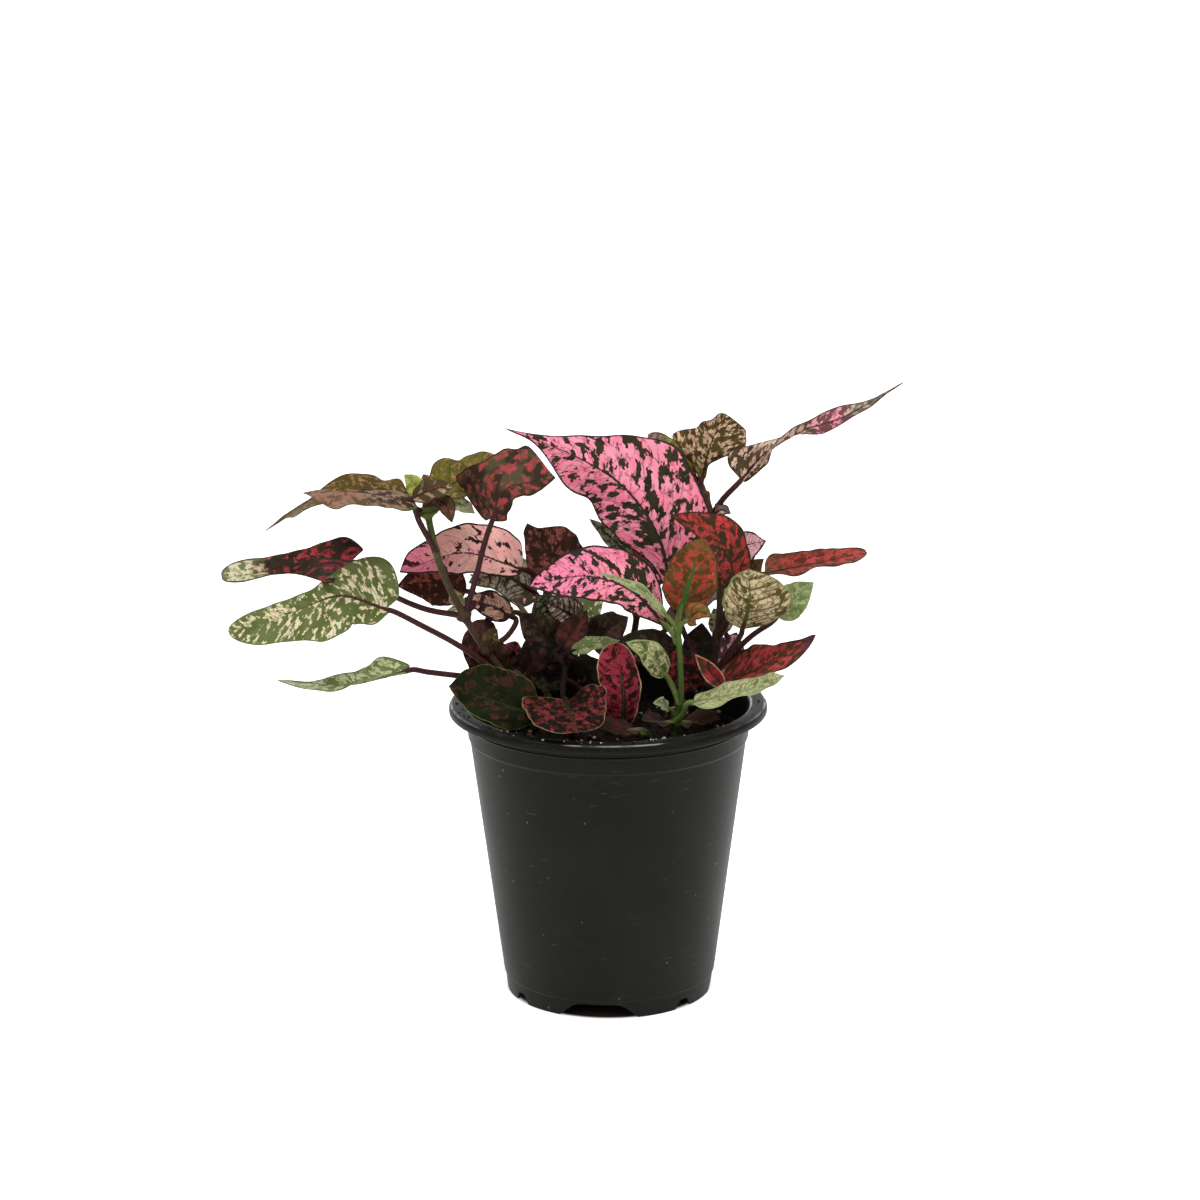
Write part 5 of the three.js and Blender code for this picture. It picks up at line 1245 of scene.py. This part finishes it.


# Front left stem: short, and nearly black, partly painted shade for the dark middle of the plant. The
# pink-red heart-shaped leaf hangs from it over the rim, and a dark green leaf, mostly painted shade, lies
# beside that.
front_left_bark = stalk_finish("stem_front_left", (32, 22, 20), (38, 26, 22), (36, 20, 20))
front_left_path = [(-12, -14), (-13, -16, 98), (-15, -16, 108), (-14, -10, 118)]
leafy_stem("stem_front_left", front_left_bark, "stem_purple", 1.3, front_left_path, [
    leaf("leaf_front_heart", "leaf_crimson", dict(RED, spots=((138, 50, 54), (100, 38, 38)),
              ground=((14, 8, 5), (18, 16, 7)), cover=0.5, grain=1.9, net=0.8, net_size=1.5,
              vein=(34, 28, 16), rib=(34, 46, 18), rib_width=1.4, margin=(140, 120, 88), margin_width=0.4,
              under=(110, 76, 66)), 31, (0, -0.3, 1), [(-13, -16, 98), (-14, -22, 103)],
         [(-14, -28, 109), (-12, -41, 107.5), (-10, -51, 105.5)], lobe=(24, 18), fold=(34, 20),
         tip_fold=(8, 8), curl=-0.15, widest=0.45, point=0.4, seed=44, veins=7, quilt=0.3,
         bumps=((0, 1, -0.8, 0.06), (0.2, 1, 0.12, 0.15), (0.3, -1, -0.05, 0.19), (0.7, -1, -0.15, 0.2))),
    leaf("leaf_front_dark", "leaf_dark", dict(DARK, spots=((66, 40, 26), (58, 34, 24)),
              ground=((12, 20, 3), (22, 30, 7)), margin=(84, 108, 44), margin_width=0.3), 21,
         (-0.1, -0.7, 0.8), [(-13, -16, 98)], [(-24, -26, 104), (-38, -26, 109), (-53, -22, 113)], seed=45,
         bumps=((0.1, 1, 0.3, 0.25), (0.85, 1, 0.85, 0.25), (0.95, 1, 1.3, 0.07), (0.57, -1, -0.1, 0.12))),
    leaf("leaf_front_pointed", "leaf_red", dict(RED, spots=((104, 54, 50), (88, 48, 44)),
              ground=((66, 40, 32), (54, 36, 30))), 10, (0, -0.9, 0.4), [(-14, -10, 117)],
         [(-16, -7, 122), (-11, -5, 128), (-7, -3, 134)], seed=46),
    leaf("leaf_front_sliver", "leaf_cream", SAGE, 5.5, (0, -0.8, 0.6), [(-14, -10, 116)],
         [(-12, -15, 123), (-5, -17, 126), (4, -17, 127)], seed=47),
])


# Back stem: it fills the middle of the plant from behind, with red, cream and dark leaves that are turned
# backwards.
back_bark = stalk_finish("stem_back", (66, 44, 36), (80, 60, 44), (76, 42, 42))
back_path = [(6, 26), (6, 27, 98), (8, 26, 112), (10, 24, 126), (8, 22, 138)]
leafy_stem("stem_back", back_bark, "stem_purple", 1.4, back_path, [
    leaf("leaf_back_slender", "leaf_dark", dict(SHADE, spots=((164, 172, 142), (146, 156, 124)),
              ground=((92, 104, 80), (78, 90, 68)), cover=0.6), 6, (-0.2, -0.8, 0.6), [(8, 22, 137)],
         [(8, 22, 146), (1, 19, 154), (-6, 16, 161)], seed=48),
    leaf("leaf_back_tall", "leaf_red", RED, 26, (0, 0.6, 0.8), [(10, 24, 126)],
         [(14, 30, 134), (18, 42, 148), (22, 56, 154)], seed=49),
    leaf("leaf_back_left", "leaf_cream", CREAM, 24, (-0.2, 0.4, 0.9), [(8, 26, 112)],
         [(-2, 32, 118), (-12, 46, 126), (-20, 60, 126)], seed=50,
         bumps=((0.1, 1, -0.7, 0.25), (0.1, -1, -0.7, 0.25))),
    leaf("leaf_back_right", "leaf_maroon", MAROON, 24, (0.2, 0.3, 0.9), [(8, 26, 112)],
         [(20, 30, 118), (36, 40, 126), (54, 48, 126)], seed=51),
    leaf("leaf_back_hanging", "leaf_red", dict(RED, cover=0.58), 24, (0, 0.3, 0.9), [(6, 27, 99)],
         [(6, 36, 104), (6, 50, 108), (5, 66, 104)], seed=52),
    leaf("leaf_back_wing", "leaf_pink", PINK, 17, (0.2, 0, 1), [(10, 24, 126), (14, 23, 132)],
         [(18, 23, 137), (25, 27, 143), (33, 32, 142)], seed=53),
    leaf("leaf_back_inner", "leaf_maroon", SHADE, 14, (0, -0.8, 0.6), [(8, 26, 112), (6, 22, 114)],
         [(5, 18, 118), (0, 12, 123), (-6, 8, 124)], seed=54),
])


# Back left stem: green and short, at the back left of the pot. Its leaves lean backwards over the rim, in
# pink, cream, olive and crimson.
back_left_bark = stalk_finish("stem_back_left", (74, 92, 42), (88, 104, 52), (92, 78, 56))
back_left_path = [(-20, 22), (-21, 23, 98), (-24, 24, 110), (-26, 26, 122)]
leafy_stem("stem_back_left", back_left_bark, "stem_green", 1.3, back_left_path, [
    leaf("leaf_back_pink", "leaf_pink", dict(PINK, cover=0.34), 26, (-0.2, 0.5, 0.8), [(-26, 26, 121)],
         [(-30, 32, 126), (-37, 42, 133), (-44, 54, 130)], seed=55, veins=7),
    leaf("leaf_back_olive", "leaf_olive", OLIVE, 20, (0, 0.4, 0.9), [(-24, 24, 110)],
         [(-18, 32, 110), (-12, 44, 113), (-8, 56, 111)], seed=56),
    leaf("leaf_back_rim", "leaf_crimson", CRIMSON, 22, (-0.3, 0.3, 0.9), [(-21, 23, 99)],
         [(-30, 28, 103), (-40, 36, 108), (-48, 46, 106)], seed=57),
    leaf("leaf_back_side", "leaf_cream", CREAM, 18, (-0.5, 0, 0.9), [(-26, 26, 121)],
         [(-33, 22, 127), (-44, 18, 130), (-56, 18, 128)], seed=58),
    leaf("leaf_back_shade", "leaf_dark", SHADE, 12, (0, -0.7, 0.7), [(-24, 24, 110), (-22, 22, 112)],
         [(-19, 22, 114), (-13, 20, 119), (-7, 20, 123)], seed=59),
    leaf("leaf_back_high", "leaf_red", dict(RED, spots=((196, 50, 76), (170, 44, 60)),
              ground=((60, 40, 40), (50, 40, 36))), 18, (0, 0, 1), [(-26, 26, 121), (-25, 26, 127)],
         [(-22, 26, 131), (-14, 27, 136), (-5, 31, 134)], seed=60),
])


# Studio: the plant stands on white card that sweeps up behind it and glows a little, in a pale grey room.
# A broad lamp hangs over it, and a soft one stands at each side, as in a catalogue photograph.
CARD_FRONT = -0.55
CARD_REACH = 1.2
CARD_BEND = 0.4
CARD_TOP = 2.6
CARD_WIDTH = 4.4
CARD_GLOW = 0.62
ROOM_LIGHT = 0.2
LAMP_AIM = (0.0, 0.0, 0.13)


def card_shape():
    profile = [(CARD_FRONT, 0.0)]
    for turn in np.linspace(0, math.pi / 2, 16):
        profile.append((CARD_REACH + CARD_BEND * math.sin(turn), CARD_BEND * (1 - math.cos(turn))))
    profile.append((CARD_REACH + CARD_BEND, CARD_TOP))
    points, faces = [], []
    for y, z in profile:
        points += [(-CARD_WIDTH / 2, y, z), (CARD_WIDTH / 2, y, z)]
    for i in range(len(profile) - 1):
        faces.append((2 * i, 2 * i + 1, 2 * i + 3, 2 * i + 2))
    return points, faces


card_finish = Finish("white card")
card_place = card_finish.place()
card_x, card_y, card_z = card_finish.parts(card_place)
# Painted shadow: under the pot's foot the card turns dark brown and stops glowing.
from_axis = (card_x * card_x + card_y * card_y) ** 0.5 + abs(card_z)
outside_painted_shadow = from_axis.ramp(0.94 * FOOT_RADIUS, 1.02 * FOOT_RADIUS)
card_glow = card_finish.mix(outside_painted_shadow, paint(0, 0, 0), paint(255, 255, 255))
card_colour = card_finish.mix(outside_painted_shadow, paint(52, 34, 26), paint(250, 249, 249))
card_finish.close(card_colour, 0.9, **{"Emission Color": card_glow, "Emission Strength": CARD_GLOW})
card_mesh = bpy.data.meshes.new("card")
card_points, card_faces = card_shape()
card_mesh.from_pydata(card_points, [], card_faces)
card_mesh.polygons.foreach_set("use_smooth", [True] * len(card_faces))
card_mesh.materials.append(card_finish.material)
card = bpy.data.objects.new("card", card_mesh)
bpy.context.collection.objects.link(card)


def lamp(name, at, size, watts):
    """A soft rectangular lamp that looks at the middle of the plant."""
    data = bpy.data.lights.new(name, "AREA")
    data.shape = "RECTANGLE"
    data.size, data.size_y = size
    data.energy = watts
    made = bpy.data.objects.new(name, data)
    bpy.context.collection.objects.link(made)
    made.location = at
    made.rotation_euler = (Vector(LAMP_AIM) - Vector(at)).to_track_quat("-Z", "Y").to_euler()


lamp("top lamp", (0.05, -0.25, 1.25), (0.9, 0.7), 12.3)
lamp("right lamp", (1.0, -0.9, 0.75), (0.4, 0.8), 4.4)
lamp("left lamp", (-1.0, -0.9, 0.65), (0.4, 0.8), 3.7)

world = bpy.data.worlds.new("studio")
world.use_nodes = True
room = world.node_tree.nodes["Background"]
room.inputs["Color"].default_value = (1, 1, 1, 1)
room.inputs["Strength"].default_value = ROOM_LIGHT
bpy.context.scene.world = world
bpy.context.scene.view_settings.view_transform = "Standard"

CAMERA_DISTANCE = 1.2
CAMERA_RISE = 14.5
CAMERA_AIM = (-0.00256, 0.0, 0.1367)
CAMERA_ROLL = -0.3
CAMERA_SENSOR = 36.0
CAMERA_LENS = 106.86
lens = bpy.data.cameras.new("camera")
lens.sensor_width = CAMERA_SENSOR
lens.lens = CAMERA_LENS
camera = bpy.data.objects.new("camera", lens)
bpy.context.collection.objects.link(camera)
rise, roll = math.radians(CAMERA_RISE), math.radians(CAMERA_ROLL)
back = Vector((0.0, -math.cos(rise), math.sin(rise)))
right = Vector((1.0, 0.0, 0.0))
up = back.cross(right)
rolled_right = right * math.cos(roll) + up * math.sin(roll)
rolled_up = up * math.cos(roll) - right * math.sin(roll)
turned = Matrix((rolled_right, rolled_up, back)).transposed().to_4x4()
turned.translation = Vector(CAMERA_AIM) + back * CAMERA_DISTANCE
camera.matrix_world = turned
bpy.context.scene.camera = camera
